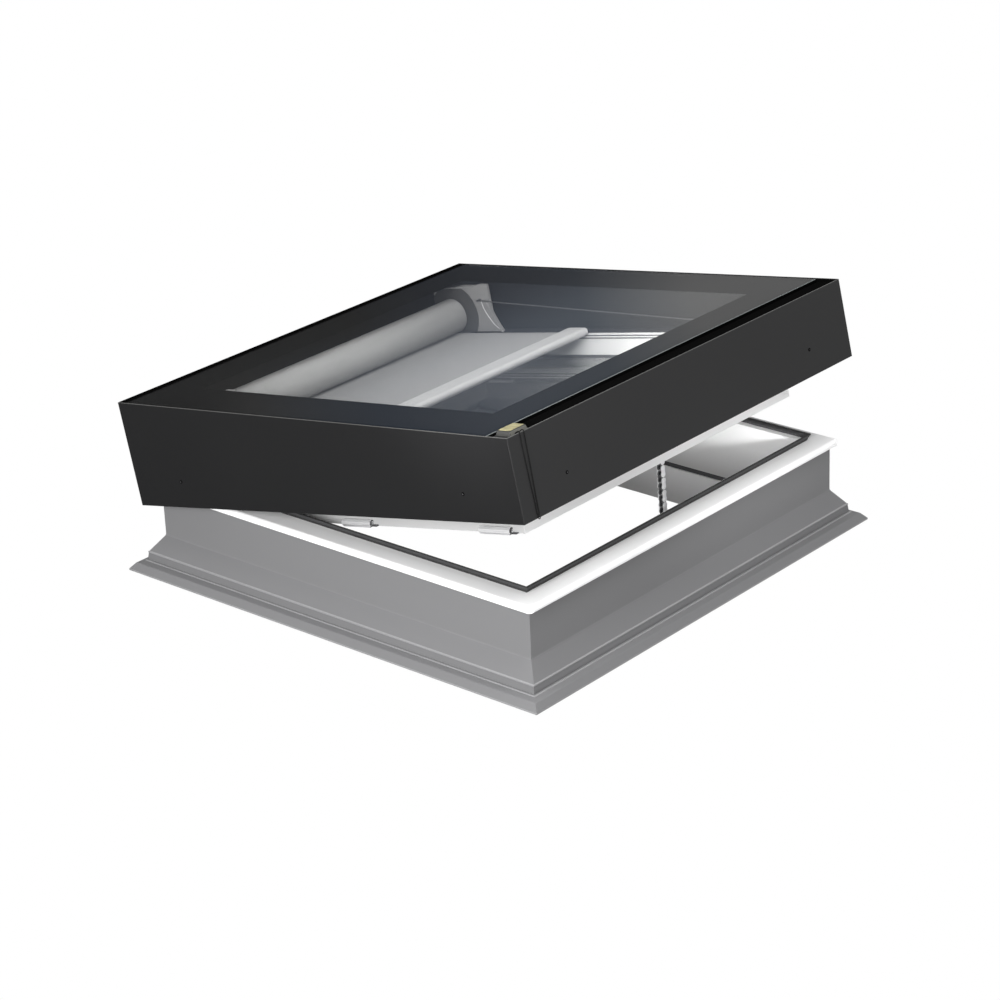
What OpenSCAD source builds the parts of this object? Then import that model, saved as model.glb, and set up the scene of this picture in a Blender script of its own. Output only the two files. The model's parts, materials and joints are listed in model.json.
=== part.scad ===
// Flat-roof skylight: insulated kerb, hinged sash with a wedge-shaped outer cover, roller blind
// between the outer glass and the insulating glass, and a chain drive that lifts the sash.
// Origin: centre of the roof opening, on the underside of the kerb flange. +Y is the hinge side.
// The sash is drawn closed, in a frame whose z = 0 is the cover's lower edge, and then turned open.

/* [Kerb] */
// Outer size of the square flange on the roof
base_size = 1000; // [700:10:1500]
// Width of the sloping foot, from the flange edge to the upright wall
foot_w = 53; // [45:1:75]
// Height of the grey wall above the roof
kerb_h = 156; // [130:1:300]
// Thickness of the insulated wall
kerb_t = 45; // [40:1:90]
// Thickness of the outer shell
shell_t = 3; // [2:0.5:5]
// Depth of the lining below the roof line
below_h = 30; // [28:1:120]
// Thickness of the inner lining boards
lining_t = 6; // [4:1:10]
// Width of the ring that hangs in the roof opening
downstand_w = 18; // [12:1:30]
// Height of the dark seal between the two linings
lining_seal_z = 44; // [20:1:80]
// Width of that seal
lining_seal_w = 11; // [6:1:16]

/* [Rim] */
// Thickness of the white rim on top of the kerb
rim_h = 16; // [12:1:24]
// How far the rim stands out over the wall
rim_overhang = 13; // [6:1:20]
// Radius of the rim's outer edge
rim_r = 8; // [3:0.5:10]
// Cut at the rim's corners
rim_cut = 8; // [0:1:12]
// Height of the rubber upstand above the rim
gasket_h = 14; // [8:0.5:20]

/* [Sash] */
// Opening angle shown, and the drive's full stroke
open_angle = 12.1; // [2:0.1:18]
// Gap between the lining and the sash ring that drops inside it
sash_gap = 13; // [10:1:20]
// Depth of the sash ring below the cover's edge
sash_drop = 51.5; // [40:0.5:52]
// Width of the sash ring under the glass
sash_w = 64; // [50:1:90]
// Width of the sash ring beside the glass
sash_side_w = 37; // [30:1:48]
// Height of the sash top above the cover's edge
sash_top = 86; // [78:1:110]
// Height of the inner trim profile
trim_h = 20; // [14:1:24]
// Width of the inner trim profile
trim_w = 20; // [16:1:22]
// Distance of the hinge axis inside the kerb's wall face
hinge_inset = 17; // [14:1:22]
// Height of the hinge axis above the rim
hinge_rise = 31.5; // [28:0.5:40]
// Distance of each hinge from the middle
hinge_x = 300; // [150:5:320]
// Hinge pin radius
pin_r = 4; // [3:0.5:5]

/* [Cover] */
// Gap between the rim and the inside of the cover
cover_gap = 19; // [14:1:30]
// Sheet thickness of the cover
cover_t = 2; // [1:0.5:3]
// How far the closed cover laps over the kerb wall
cover_lap = 12.5; // [4:0.5:30]
// Height of the cover at the opening side
cover_front_h = 151; // [140:1:200]
// Height of the cover at the hinge side
cover_back_h = 202; // [190:1:260]
// Thickness of the outer glass
glass_t = 6; // [4:1:8]
// Depth of the ledge that carries the outer glass
glass_recess = 8; // [7:0.5:12]
// Width of the open gutter in front of the glass
gutter_w = 50; // [30:1:80]
// Width of the printed border at the sides
border_side = 115; // [90:1:125]
// Width of the printed border at the opening side
border_front = 130; // [110:1:160]
// Width of the printed border at the hinge side
border_back = 110; // [90:1:120]

/* [Insulating glass] */
// Height of the glass ledge above the cover's edge
ledge_z = 9; // [0:1:20]
// Lower pane
lower_pane_t = 6; // [4:1:8]
// Upper pane
upper_pane_t = 4; // [3:1:6]
// Gap between the panes
pane_gap = 16; // [10:1:20]

/* [Blind] */
// Radius of the rolled cloth
roll_r = 34; // [26:1:36]
// Distance of the roll's axis behind the inner trim
roll_behind = 24; // [18:1:28]
// Height of the roll's axis above the cover's edge
roll_z = 122; // [121.5:0.5:126]
// Radius of the roller tube
tube_r = 20; // [16:1:22]
// Wall of the roller tube
tube_wall = 1.5; // [1:0.5:2]
// Gap between the cloth and the sides of the glass opening
cloth_gap = 12; // [8:1:100]
// Thickness of the cloth
cloth_t = 0.7; // [0.5:0.1:1]
// Width of the hem bar
hem_w = 54; // [30:1:60]
// Height of the hem bar
hem_h = 16; // [12:1:18]
// Distance of the hem bar in front of the roll's axis, as shown
hem_out = 326; // [120:1:700]
// Radius of the dark end discs
disc_r = 62; // [45:1:64]
// Radius of the guide wires
wire_r = 1.2; // [0.8:0.1:2]

/* [Drive] */
// Sideways place of the chain
chain_x = 20; // [-80:1:80]
// Distance from the sash ring's outer face to the chain
chain_inset = 15; // [14:0.5:18]
// Height of the chain's upper pivot above the cover's edge
pivot_z = 12.5; // [11:0.5:16]
// Chain pitch
pitch = 12; // [8:0.5:16]
// Gap between neighbouring link plates
link_gap = 1; // [0.5:0.1:2]
// Length of the drive casing
casing_l = 400; // [300:10:500]
// Height of the drive casing
casing_h = 48; // [40:1:56]
// Depth of the drive casing
casing_w = 50; // [46:1:56]

/* [Fits] */
// Running clearance round pins
pin_fit = 0.08; // [0.02:0.01:0.1]
// Clearance between parts that move past each other
free_gap = 0.5; // [0.3:0.1:1]
// Gap between the closed sash and the rim's gasket
seal_gap = 0.3; // [0.2:0.1:1]

/* [Hidden] */
$fn = 48;
cut = 1; // how far cutting shapes run past a face

// Kerb and rim, as half sizes from the middle
base_half = base_size / 2;
wall_half = base_half - foot_w;
light_half = wall_half - kerb_t;
lining_half = light_half + lining_t;
ring_half = light_half + downstand_w;
rim_half = wall_half + rim_overhang;
rim_top = kerb_h + rim_h;
gasket_top = rim_top + gasket_h;
gasket_root = light_half + 9;
lip_z = rim_top + 4;

// Cover and sash, in the sash's own frame
cover_half = rim_half + cover_gap + cover_t;
skirt_in = cover_half - cover_t;
cover_z = kerb_h - cover_lap;
slope = atan((cover_back_h - cover_front_h) / (2 * cover_half));
slope_l = 2 * cover_half / cos(slope);
sash_half = light_half - sash_gap;
flange_half = light_half + 22;
flange_z = gasket_top + seal_gap - cover_z;
glass_in = sash_half - sash_side_w;
ledge_half = sash_half - sash_w;
trim_half = glass_in + trim_w;
trim_z = sash_top - trim_h;
carrier_z = 72;
carrier_t = 4;
carrier_low = 40;
screw_z = 50.5;
screw_x = cover_half - 126;

// Insulating glass
pane_half = glass_in - 2.5;
spacer_z = ledge_z + lower_pane_t;
upper_z = spacer_z + pane_gap;
pane_top = upper_z + upper_pane_t;

// Blind space under the outer glass
space_half = trim_half + 2;
space_wall = 30;
roll_y = trim_half + roll_behind;
cloth_half = glass_in - cloth_gap;
space_back = roll_y + 51;
back_wall = 11;
under_glass = glass_recess + cover_t;
roll_half = cloth_half + 7.5;
bracket_x = cloth_half + 14;
bracket_t = 6;
disc_t = 3;
journal_r = 6;
hem_y = roll_y - hem_out;
cloth_z = roll_z - roll_r - 0.3 - cloth_t;
hem_z = cloth_z + cloth_t / 2;

// Hinges
hinge_y = wall_half - hinge_inset;
hinge_z = rim_top + hinge_rise;
hinge_lz = hinge_z - cover_z;
knuckle_r = 8;
knuckle_w = 14;
leaf_w = 26;

// Chain and drive. The chain's pivot on the sash, closed, is also the point all its positions pass
chain_y = -(sash_half - chain_inset);
pivot_dy = chain_y - hinge_y;
pivot_dz = cover_z + pivot_z - hinge_z;
open_y = hinge_y + pivot_dy * cos(open_angle) + pivot_dz * sin(open_angle);
open_z = hinge_z - pivot_dy * sin(open_angle) + pivot_dz * cos(open_angle);
chain_lean = atan((open_y - chain_y) / (open_z - cover_z - pivot_z));
swing = atan(-pivot_dz / -pivot_dy);
plate_w = pitch - link_gap;
plate_t = 1.6;
roller_r = 3.6;
roller_w = 5.6;
link_pin_r = 2;
inner_y = roller_w / 2;
outer_y = inner_y + plate_t;
chain_half_y = outer_y + plate_t + 1.2;
block_drop = 12;
stroke = norm([open_y - chain_y, open_z - cover_z - pivot_z]);
links = ceil((stroke + 4 - block_drop) / pitch);
chain_low = cover_z + pivot_z - block_drop - links * pitch - plate_w / 2;
well_low = min(-below_h, chain_low);
casing_top = cover_z - sash_drop - 4;
casing_low = casing_top - casing_h;
guide_top = cover_z + ledge_z - 7.5;
guide_wall = 1.6;
slot_x = plate_w / 2 + free_gap + 0.5;
slot_y = chain_half_y + free_gap + 0.6;
well_y = slot_y + tan(swing) * (cover_z + pivot_z - well_low);

white = "#eceded";
greyPvc = "#8a8a8c";
darkRubber = "#3c3c3d";
blackMetal = "#303031";
steel = "#c4c6c8";

// Tools of this model

// A mitred square ring: its section is drawn as [distance from the middle, height]
module ring(section, reach) {
    for (k = [0:3])
        rotate([0, 0, 90 * k])
            intersection() {
                translate([-reach, 0, 0])
                    rotate([90, 0, 90])
                        linear_extrude(2 * reach)
                            polygon([for (p = section) [-p[0], p[1]]]);
                translate([0, 0, -reach])
                    linear_extrude(2 * reach)
                        polygon([[0, 0], [-2 * reach, -2 * reach], [2 * reach, -2 * reach]]);
            }
}

// A plain square ring between two half sizes
module plain_ring(inner, outer, z0, z1) {
    difference() {
        box(-outer, outer, -outer, outer, z0, z1);
        box(-inner, inner, -inner, inner, z0 - cut, z1 + cut);
    }
}

module box(x0, x1, y0, y1, z0, z1) {
    translate([x0, y0, z0]) cube([x1 - x0, y1 - y0, z1 - z0]);
}

module rod_x(r, x0, x1) {
    translate([x0, 0, 0]) rotate([0, 90, 0]) cylinder(r = r, h = x1 - x0);
}

module rod_y(r, y0, y1) {
    translate([0, y0, 0]) rotate([-90, 0, 0]) cylinder(r = r, h = y1 - y0);
}

// The sash's frame, turned open about the hinge axis
module in_sash() {
    translate([0, hinge_y, hinge_z])
        rotate([-open_angle, 0, 0])
            translate([0, -hinge_y, -hinge_lz])
                children();
}

// The outer glass plane: y runs up the slope from the front edge, z = 0 is the top
module on_slope() {
    translate([0, -cover_half, cover_front_h]) rotate([slope, 0, 0]) children();
}

// The chain's frame: its pivot at the origin and its links hanging down
module in_chain() {
    translate([chain_x, open_y, open_z]) rotate([-chain_lean, 0, 0]) children();
}

module both_ways() {
    children();
    mirror([1, 0, 0]) children();
}

function arc(cx, cz, r, a0, a1, n) = [
    for (i = [0:n])
        let (a = a0 + (a1 - a0) * i / n)
            [cx + r * cos(a), cz + r * sin(a)]];

// Kerb

knee = [base_half - 11, 15];
groove = [base_half - 24, 19];
lip_low = [base_half - 26.5, 22.5];
crease = [base_half - 28.5, 35.5];
flare_z = 67.5;
hollow = [
    [wall_half - shell_t, kerb_h], [wall_half - shell_t, flare_z - 1], [crease[0] - shell_t - 2, crease[1]],
    [lip_low[0] - shell_t - 2, groove[1] - 4], [knee[0] - 3, knee[1] - 5], [base_half - 7, 4],
    [lining_half, 4], [lining_half, kerb_h]];

module kerb_shell() {
    color(greyPvc)
        ring(concat(
            [[ring_half, 0], [base_half, 0], [base_half, 3], knee, groove, [lip_low[0] - 1, groove[1] + 0.5],
             [lip_low[0] - 1, lip_low[1]], lip_low, crease, [wall_half, flare_z], [wall_half, kerb_h]],
            [for (i = [0:5]) hollow[i]], [[ring_half, 4]]), base_half);
}

module kerb_insulation() {
    color("#e4e2da") ring(hollow, base_half);
}

// Lower lining with the ring that hangs in the roof opening
module kerb_lining() {
    color("#b4b5b7")
        ring([[light_half, -below_h], [ring_half, -below_h], [ring_half, 4], [lining_half, 4],
              [lining_half, lining_seal_z], [light_half, lining_seal_z]], base_half);
}

module lining_seal() {
    color(darkRubber)
        plain_ring(light_half + lining_t / 2, lining_half, lining_seal_z, lining_seal_z + lining_seal_w);
}

module frame_lining() {
    color(white)
        plain_ring(light_half, lining_half, lining_seal_z + lining_seal_w, rim_top);
}

// White rim with a rounded outer edge, an inner lip over the lining and cut corners
module rim() {
    color(white)
        intersection() {
            ring(concat(
                [[lining_half, kerb_h], [wall_half + 0.5, kerb_h], [wall_half + 0.5, kerb_h + 2.5],
                 [rim_half - 1.5, kerb_h + 3.5], [rim_half, kerb_h + 5]],
                arc(rim_half - rim_r, rim_top - rim_r, rim_r, 0, 90, 5),
                [[gasket_root, rim_top], [gasket_root, lip_z + 2], [light_half, lip_z - 1],
                 [light_half, rim_top], [lining_half, rim_top]]), base_half);
            linear_extrude(rim_top + 2 * gasket_h)
                polygon([for (k = [0:3]) each let (c = rim_half - rim_cut, a = 90 * k)
                    [[rim_half * cos(a) + c * sin(a), rim_half * sin(a) - c * cos(a)],
                     [rim_half * cos(a) - c * sin(a), rim_half * sin(a) + c * cos(a)]]]);
        }
}

// Rubber upstand: a thin foot that widens to a lip leaning outwards
module frame_gasket() {
    g = gasket_root;
    color(darkRubber)
        ring([[g, rim_top], [g + 4, rim_top], [g + 10.5, gasket_top - 2], [g + 9.5, gasket_top],
              [g + 6.5, gasket_top - 0.5], [g + 1, gasket_top - 4.5], [g + 1, gasket_top - 8],
              [g, gasket_top - 9]], base_half);
}

// Hinges

module hinge_base(x) {
    foot_low = rim_top;
    color(steel)
        translate([x, 0, 0])
            difference() {
                union() {
                    box(-30, 30, hinge_y - 4, hinge_y + 24, foot_low, foot_low + 4);
                    for (s = [-1, 1])
                        translate([s * (knuckle_w + free_gap), 0, 0]) {
                            box(-knuckle_w / 2, knuckle_w / 2, hinge_y - 4, hinge_y + knuckle_r,
                                foot_low, hinge_z);
                            translate([0, hinge_y, hinge_z]) rod_x(knuckle_r, -knuckle_w / 2, knuckle_w / 2);
                        }
                }
                translate([0, hinge_y, hinge_z]) rod_x(pin_r, -40, 40);
                for (s = [-1, 1])
                    translate([s * 14, hinge_y + 17, foot_low - cut]) cylinder(r = 2.5, h = 4 + 2 * cut);
            }
}

module hinge_pin(x) {
    ends = 1.5 * knuckle_w + free_gap;
    color(steel)
        translate([x, hinge_y, hinge_z]) {
            rod_x(pin_r, -ends, ends);
            rod_x(pin_r + 1.5, ends, ends + 2);
            rod_x(pin_r + 1.5, -ends - 2, -ends);
        }
}

module hinge_leaf(x) {
    color(steel)
        in_sash()
            translate([x, 0, 0])
                difference() {
                    union() {
                        translate([0, hinge_y, hinge_lz]) rod_x(knuckle_r, -knuckle_w / 2, knuckle_w / 2);
                        box(-knuckle_w / 2, knuckle_w / 2, hinge_y, hinge_y + knuckle_r, hinge_lz, carrier_z);
                        box(-leaf_w, leaf_w, hinge_y + 4, skirt_in - 5, carrier_z - 3, carrier_z);
                        for (s = [-1, 1])
                            translate([s * 17, hinge_y + 30, carrier_z - 4.6]) cylinder(r = 3.5, h = 3);
                    }
                    translate([0, hinge_y, hinge_lz]) rod_x(pin_r + pin_fit, -knuckle_w, knuckle_w);
                }
}

// Drive, fixed inside the lining at the opening side

casing_back = -light_half;
casing_front = casing_back + casing_w;
well = [chain_x - slot_x, chain_x + slot_x, chain_y - slot_y, chain_y + well_y];

module drive_casing() {
    x0 = chain_x - casing_l / 2;
    x1 = chain_x + casing_l / 2;
    color("#d8d9db")
        difference() {
            hull()
                for (y = [casing_back, casing_front - 6])
                    for (z = [casing_low, casing_top - 6])
                        box(x0, x1, y, y + 6 - (y > casing_back && z > casing_low ? 3 : 0), z, z + 6);
            box(x0 + 6, well[0] - 12, casing_back + 4, casing_front - 6, casing_low + 4, casing_top - 8);
            box(well[1] + 12, x1 - 6, casing_back + 4, casing_front - 6, casing_low + 4, casing_top - 8);
            box(x0 - cut, x0 + 7, casing_back + 4, casing_front - 6, casing_low + 4, casing_top - 8);
            box(x1 - 7, x1 + cut, casing_back + 4, casing_front - 6, casing_low + 4, casing_top - 8);
            box(well[0], well[1], well[2], well[3], casing_low - cut, casing_top + cut);
        }
}

module drive_motor() {
    motor_r = 15;
    y = (casing_back + 4 + casing_front - 6) / 2;
    z = casing_low + 4 + motor_r;
    color("#6f7275")
        translate([0, y, z]) {
            rod_x(motor_r, chain_x - casing_l / 2 + 20, chain_x - casing_l / 2 + 110);
            rod_x(motor_r - 3, chain_x - casing_l / 2 + 110, chain_x - casing_l / 2 + 150);
            rod_x(4, chain_x - casing_l / 2 + 150, well[0] - 12);
        }
}

module drive_end_cap(side) {
    x = chain_x + side * casing_l / 2;
    inside = min(x, x - side * 6);
    color("#c9cacc") {
        box(min(x, x + side * 3), max(x, x + side * 3), casing_back, casing_front, casing_low, casing_top);
        box(inside, inside + 6, casing_back + 4, casing_front - 6, casing_low + 4, casing_top - 8);
        for (z = [casing_low + 8, casing_top - 12])
            translate([min(x + side * 3, x + side * 4.2), (casing_back + casing_front) / 2, z])
                rotate([0, 90, 0]) cylinder(r = 2.6, h = 1.2);
    }
}

// Upright guide that the chain leaves by; it enters a pocket in the closed sash
module chain_guide() {
    color("#b9bbbd")
        difference() {
            box(well[0] - guide_wall, well[1] + guide_wall, well[2] - guide_wall,
                chain_y + slot_y + 4 + guide_wall, casing_top, guide_top);
            box(well[0], well[1], well[2], chain_y + slot_y + 4, casing_top - cut, guide_top + cut);
        }
}

// Pocket below the casing for the drawn-in length of chain
module chain_magazine() {
    color("#b9bbbd")
        difference() {
            box(well[0] - guide_wall, well[1] + guide_wall, well[2] - guide_wall, well[3] + guide_wall,
                well_low, casing_low);
            box(well[0], well[1], well[2], well[3], well_low - cut, casing_low + cut);
        }
}

// Sash

pocket = [chain_x - slot_x - 6, chain_x + slot_x + 6, -sash_half + 2, chain_y + slot_y + 19];
pocket_top = pivot_z + 10;
pocket_step = ledge_z - 4.5;

module sash_frame() {
    color(white)
        in_sash()
            difference() {
                ring([[ledge_half, -sash_drop], [sash_half, -sash_drop], [sash_half, flange_z],
                      [flange_half, flange_z], [flange_half, sash_top], [trim_half, sash_top],
                      [trim_half, trim_z], [glass_in, trim_z], [glass_in, ledge_z], [ledge_half, ledge_z]],
                     base_half);
                box(pocket[0], pocket[1], pocket[2], pocket[3], -sash_drop - cut, pocket_step);
                box(pocket[0], pocket[1], pocket[2], -glass_in - 5, -sash_drop - cut, pocket_top);
                for (s = [-1, 1])
                    box(s * hinge_x - 31, s * hinge_x + 31, hinge_y - knuckle_r - 3, flange_half + cut,
                        flange_z - cut, carrier_z);
            }
}

// White profile over the glass edge, with two grooves along its inner face
module inner_trim() {
    color(white)
        in_sash()
            ring([[glass_in, trim_z], [trim_half, trim_z], [trim_half, sash_top], [glass_in + 1, sash_top],
                  [glass_in, sash_top - 1], [glass_in, sash_top - 6], [glass_in + 5, sash_top - 7],
                  [glass_in + 5, sash_top - 9], [glass_in + 1.5, sash_top - 10], [glass_in + 1.5, trim_z + 5],
                  [glass_in + 5, trim_z + 4], [glass_in + 5, trim_z + 2.5], [glass_in, trim_z + 1.5]],
                 base_half);
}

module glass_gasket() {
    color(darkRubber)
        in_sash()
            ring([[pane_half, ledge_z], [glass_in, ledge_z], [glass_in, pane_top + 3],
                  [pane_half - 4, pane_top + 1], [pane_half - 4, pane_top], [pane_half, pane_top]],
                 base_half);
}

module pane(z, t) {
    color("#cfe0e0", 0.35) in_sash() box(-pane_half, pane_half, -pane_half, pane_half, z, z + t);
}

module lower_pane() pane(ledge_z, lower_pane_t);
module upper_pane() pane(upper_z, upper_pane_t);

module pane_spacer() {
    color(steel) in_sash() plain_ring(pane_half - 16, pane_half - 8, spacer_z, upper_z);
}

module edge_seal() {
    color(darkRubber) in_sash() plain_ring(pane_half - 8, pane_half, spacer_z, upper_z);
}

// Black frame that keeps the outer glass off the sash and lines the blind's space
module spacer_frame() {
    color(blackMetal)
        in_sash()
            difference() {
                union() {
                    box(-space_half - space_wall, space_half + space_wall, -space_half - space_wall,
                        space_back + back_wall, sash_top, cover_back_h);
                    box(-space_half - space_wall, space_half + space_wall, space_back,
                        space_back + back_wall, carrier_z + carrier_t, sash_top + cut);
                }
                box(-space_half, space_half, -space_half, space_back, sash_top - cut, cover_back_h + cut);
                on_slope()
                    box(-cover_half, cover_half, -cover_half, 3 * cover_half, -glass_t - 2, cover_half);
            }
}

// Frame that joins the cover to the sash: an angle with its web on the sash and a leg on the cover
module cover_carrier() {
    color("#4a4b4d")
        in_sash()
            difference() {
                ring([[flange_half, carrier_z], [skirt_in - 3, carrier_z], [skirt_in - 3, carrier_low],
                      [skirt_in, carrier_low], [skirt_in, carrier_z + carrier_t],
                      [flange_half, carrier_z + carrier_t]], base_half);
                screw_places() rod_x(1.6, -8, cover_t + cut);
            }
}

// Wedge-shaped sheet cover, open below, with a ledge for the glass and a gutter in front of it
module cover_skirt() {
    color(blackMetal)
        in_sash()
            difference() {
                translate([-cover_half, 0, 0])
                    rotate([90, 0, 90])
                        linear_extrude(2 * cover_half)
                            polygon([[-cover_half, 0], [cover_half, 0], [cover_half, cover_back_h],
                                     [-cover_half, cover_front_h]]);
                difference() {
                    box(-skirt_in, skirt_in, -skirt_in, skirt_in, -cut, cover_back_h + cut);
                    on_slope()
                        box(-cover_half, cover_half, -cover_half, 3 * cover_half, -under_glass, cover_half);
                }
                on_slope() {
                    box(-skirt_in, skirt_in, cover_t, slope_l - cover_t, -glass_recess, cover_half);
                    box(-opening_half, opening_half, opening_front, opening_back,
                        -under_glass - cut, cover_half);
                }
                screw_places() rod_x(1.6, -8, cover_t + cut);
            }
}

ledge_w = 14;
opening_half = skirt_in - ledge_w;
opening_front = gutter_w + ledge_w;
opening_back = slope_l - cover_t - ledge_w - 6;
glass_half = skirt_in - 1.5;
glass_back = slope_l - cover_t - 8;

module outer_glass() {
    color("#9fb0b8", 0.35)
        in_sash() on_slope()
            box(-glass_half, glass_half, gutter_w, glass_back,
                -glass_recess + 1, -glass_recess + 1 + glass_t);
}

// Printed band on the underside of the outer glass
module glass_border() {
    z = -glass_recess + 1;
    side = cover_half - border_side;
    color("#2f3338")
        in_sash() on_slope()
            difference() {
                box(-opening_half, opening_half, opening_front, opening_back, z - 0.3, z);
                box(-side, side, border_front, slope_l - border_back, z - cut, z + cut);
            }
}

// Black seal between the ledge and the outer glass
module glass_seal() {
    z = -glass_recess;
    color("#141414")
        in_sash() on_slope()
            difference() {
                box(-glass_half, glass_half, gutter_w, glass_back, z, z + 1);
                box(-opening_half, opening_half, opening_front, opening_back, z - cut, z + 1 + cut);
            }
}

// Two screw places on each side of the cover; x = 0 is the cover's outer face
module screw_places() {
    for (k = [0:3], s = [-1, 1])
        rotate([0, 0, 90 * k]) translate([cover_half - cover_t, s * screw_x, screw_z]) children();
}

module cover_screws() {
    color("#1d1d1e")
        in_sash()
            screw_places() {
                rod_x(1.6, -7, cover_t);
                rod_x(3.2, cover_t, cover_t + 1.2);
            }
}

// Rolled steel clips on the sash ring, three on each side

clip_l = 72;
clip_r = 6;
clip_step = sash_half - 54;
clip_shift = 8;

module clip_places() {
    both_ways()
        for (i = [-1:1])
            translate([-sash_half, clip_shift + i * clip_step, clip_r - sash_drop]) children();
}

module retaining_clips() {
    color(steel)
        in_sash()
            clip_places()
                difference() {
                    union() {
                        intersection() {
                            translate([-4, 0, 0]) rod_y(clip_r, -clip_l / 2, clip_l / 2);
                            box(-20, 0, -clip_l, clip_l, -clip_r, 2 * clip_r);
                        }
                        box(-7, 22, -clip_l / 2 + 4, clip_l / 2, -clip_r - 1.5, -clip_r);
                    }
                    translate([-4, 0, 0]) rod_y(clip_r - 2.2, -clip_l / 2 - cut, -clip_l / 2 + 12);
                }
}

module clip_tongues() {
    color("#55575a")
        in_sash()
            clip_places()
                box(-6, 0, -clip_l / 2 - 12, -clip_l / 2 - 0.5, -clip_r + 0.5, -clip_r + 3);
}

// Light sensor on the gutter at one front corner, with its cable down the cover's face

sensor_x = -(cover_half - 45);
sensor_y = 34;
sensor_w = 60;
sensor_l = 50;
sensor_h = 13;
cell_w = 48;
cell_l = 27;
cell_t = 1;

module sensor_housing() {
    color("#4b4c4e")
        in_sash() on_slope()
            translate([sensor_x, sensor_y, -glass_recess])
                hull() {
                    box(-sensor_w / 2, sensor_w / 2, -sensor_l / 2, gutter_w - sensor_y - 0.5, 0, 5);
                    box(-cell_w / 2 - 2, cell_w / 2 + 2, -cell_l / 2 - 2, cell_l / 2 + 1, 0, sensor_h);
                }
}

module solar_cell() {
    color("#b8a878")
        in_sash() on_slope()
            translate([sensor_x, sensor_y, -glass_recess])
                box(-cell_w / 2, cell_w / 2, -cell_l / 2, cell_l / 2, sensor_h, sensor_h + cell_t);
}

// A round tube swept along points, each ring square to the path
function unit(v) = v / norm(v);
function along(p, i) = unit(p[min(i + 1, len(p) - 1)] - p[max(i - 1, 0)]);
module sweep(p, r, n) {
    rings = [
        for (i = [0:len(p) - 1])
            let (t = along(p, i), u = unit(cross(t, [1, 0, 0])), v = cross(t, u))
                for (k = [0:n - 1])
                    p[i] + r * cos(360 * k / n) * u + r * sin(360 * k / n) * v];
    last = (len(p) - 1) * n;
    polyhedron(rings, concat(
        [[for (k = [0:n - 1]) k]],
        [for (i = [0:len(p) - 2], k = [0:n - 1])
            let (a = i * n, b = (k + 1) % n)
                [a + k, a + n + k, a + n + b, a + b]],
        [[for (k = [n - 1:-1:0]) last + k]]));
}

// Twin cable: over the cover's top edge and down its face, from the sensor to the grommet
cable_r = 1.5;
cable_top_x = 5.5;
cable_low_x = 2.6;
cable_x = -(cover_half - 37);
cable_start = -cover_half + sensor_y - sensor_l / 2 - 1.2;
face_y = -cover_half - cable_r - 0.1;
top_z = cover_front_h + cable_r + 0.4;
function cable(s) = [
    [cable_x + s * cable_top_x, cable_start, top_z - 6.3],
    [cable_x + s * cable_top_x, cable_start - 1.1, top_z - 3.3],
    [cable_x + s * cable_top_x, -cover_half + 5, top_z - 0.4],
    [cable_x + s * cable_top_x, -cover_half + 1.5, top_z],
    [cable_x + s * cable_top_x, face_y + 0.4, top_z - 1.5],
    [cable_x + s * cable_top_x, face_y, top_z - 5],
    [cable_x + s * (cable_top_x + cable_low_x) / 2, face_y, cover_front_h / 2],
    [cable_x + s * cable_low_x, face_y, 12],
    [cable_x + s * cable_low_x, face_y, 6]];

module sensor_cable() {
    color("#161616") in_sash() for (s = [-1, 1]) sweep(cable(s), cable_r, 8);
}

module cable_grommet() {
    color("#161616")
        in_sash()
            translate([cable_x, -cover_half, 0])
                difference() {
                    box(-5, 5, -3.4, 0, -2, 6);
                    translate([0, 0, 0.6]) rod_y(1.6, -4, cut);
                }
}

// Chain attachment on the sash

ear_in = plate_w / 2 + free_gap;
ear_t = 3;

module chain_bracket() {
    top = pocket_top;
    color(steel)
        in_sash()
            translate([chain_x, 0, 0])
                difference() {
                    union() {
                        box(-ear_in - ear_t, ear_in + ear_t, chain_y - 11, chain_y + 13, top - 2, top);
                        for (s = [-1, 1])
                            translate([s * (ear_in + ear_t / 2), chain_y, pivot_z]) {
                                box(-ear_t / 2, ear_t / 2, -6, 6, 0, 8);
                                rod_x(6, -ear_t / 2, ear_t / 2);
                            }
                    }
                    translate([0, chain_y, pivot_z]) rod_x(3, -20, 20);
                }
}

module chain_pin() {
    color("#8f9194")
        in_sash()
            translate([chain_x, chain_y, pivot_z]) {
                rod_x(3, -ear_in - ear_t, ear_in + ear_t);
                rod_x(4.5, ear_in + ear_t, ear_in + ear_t + 1.5);
            }
}

// Chain: plates square to Y, rollers between the inner plates, pins along Y

module link_plate(y0, y1) {
    difference() {
        union() {
            rod_y(plate_w / 2, y0, y1);
            translate([0, 0, -pitch]) rod_y(plate_w / 2, y0, y1);
            box(-plate_w / 2 + 1, plate_w / 2 - 1, y0, y1, -pitch, 0);
        }
        for (z = [0, -pitch])
            translate([0, 0, z]) rod_y(link_pin_r, y0 - cut, y1 + cut);
    }
}

module at_pin(i) {
    translate([0, 0, -block_drop - i * pitch]) children();
}

module chain_end_block() {
    color(steel)
        in_chain()
            difference() {
                union() {
                    rod_x(6, -plate_w / 2, plate_w / 2);
                    box(-plate_w / 2, plate_w / 2, -inner_y + 0.1, inner_y - 0.1, -block_drop - 3.5, 0);
                }
                rod_x(3 + pin_fit, -20, 20);
                at_pin(0) rod_y(link_pin_r, -20, 20);
            }
}

module chain_outer_plates() {
    color(steel)
        in_chain()
            for (i = [0:2:links - 1])
                at_pin(i) {
                    link_plate(outer_y, outer_y + plate_t);
                    link_plate(-outer_y - plate_t, -outer_y);
                }
}

module chain_inner_plates() {
    color("#a9abad")
        in_chain()
            for (i = [1:2:links - 1])
                at_pin(i) {
                    link_plate(inner_y, outer_y);
                    link_plate(-outer_y, -inner_y);
                }
}

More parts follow.
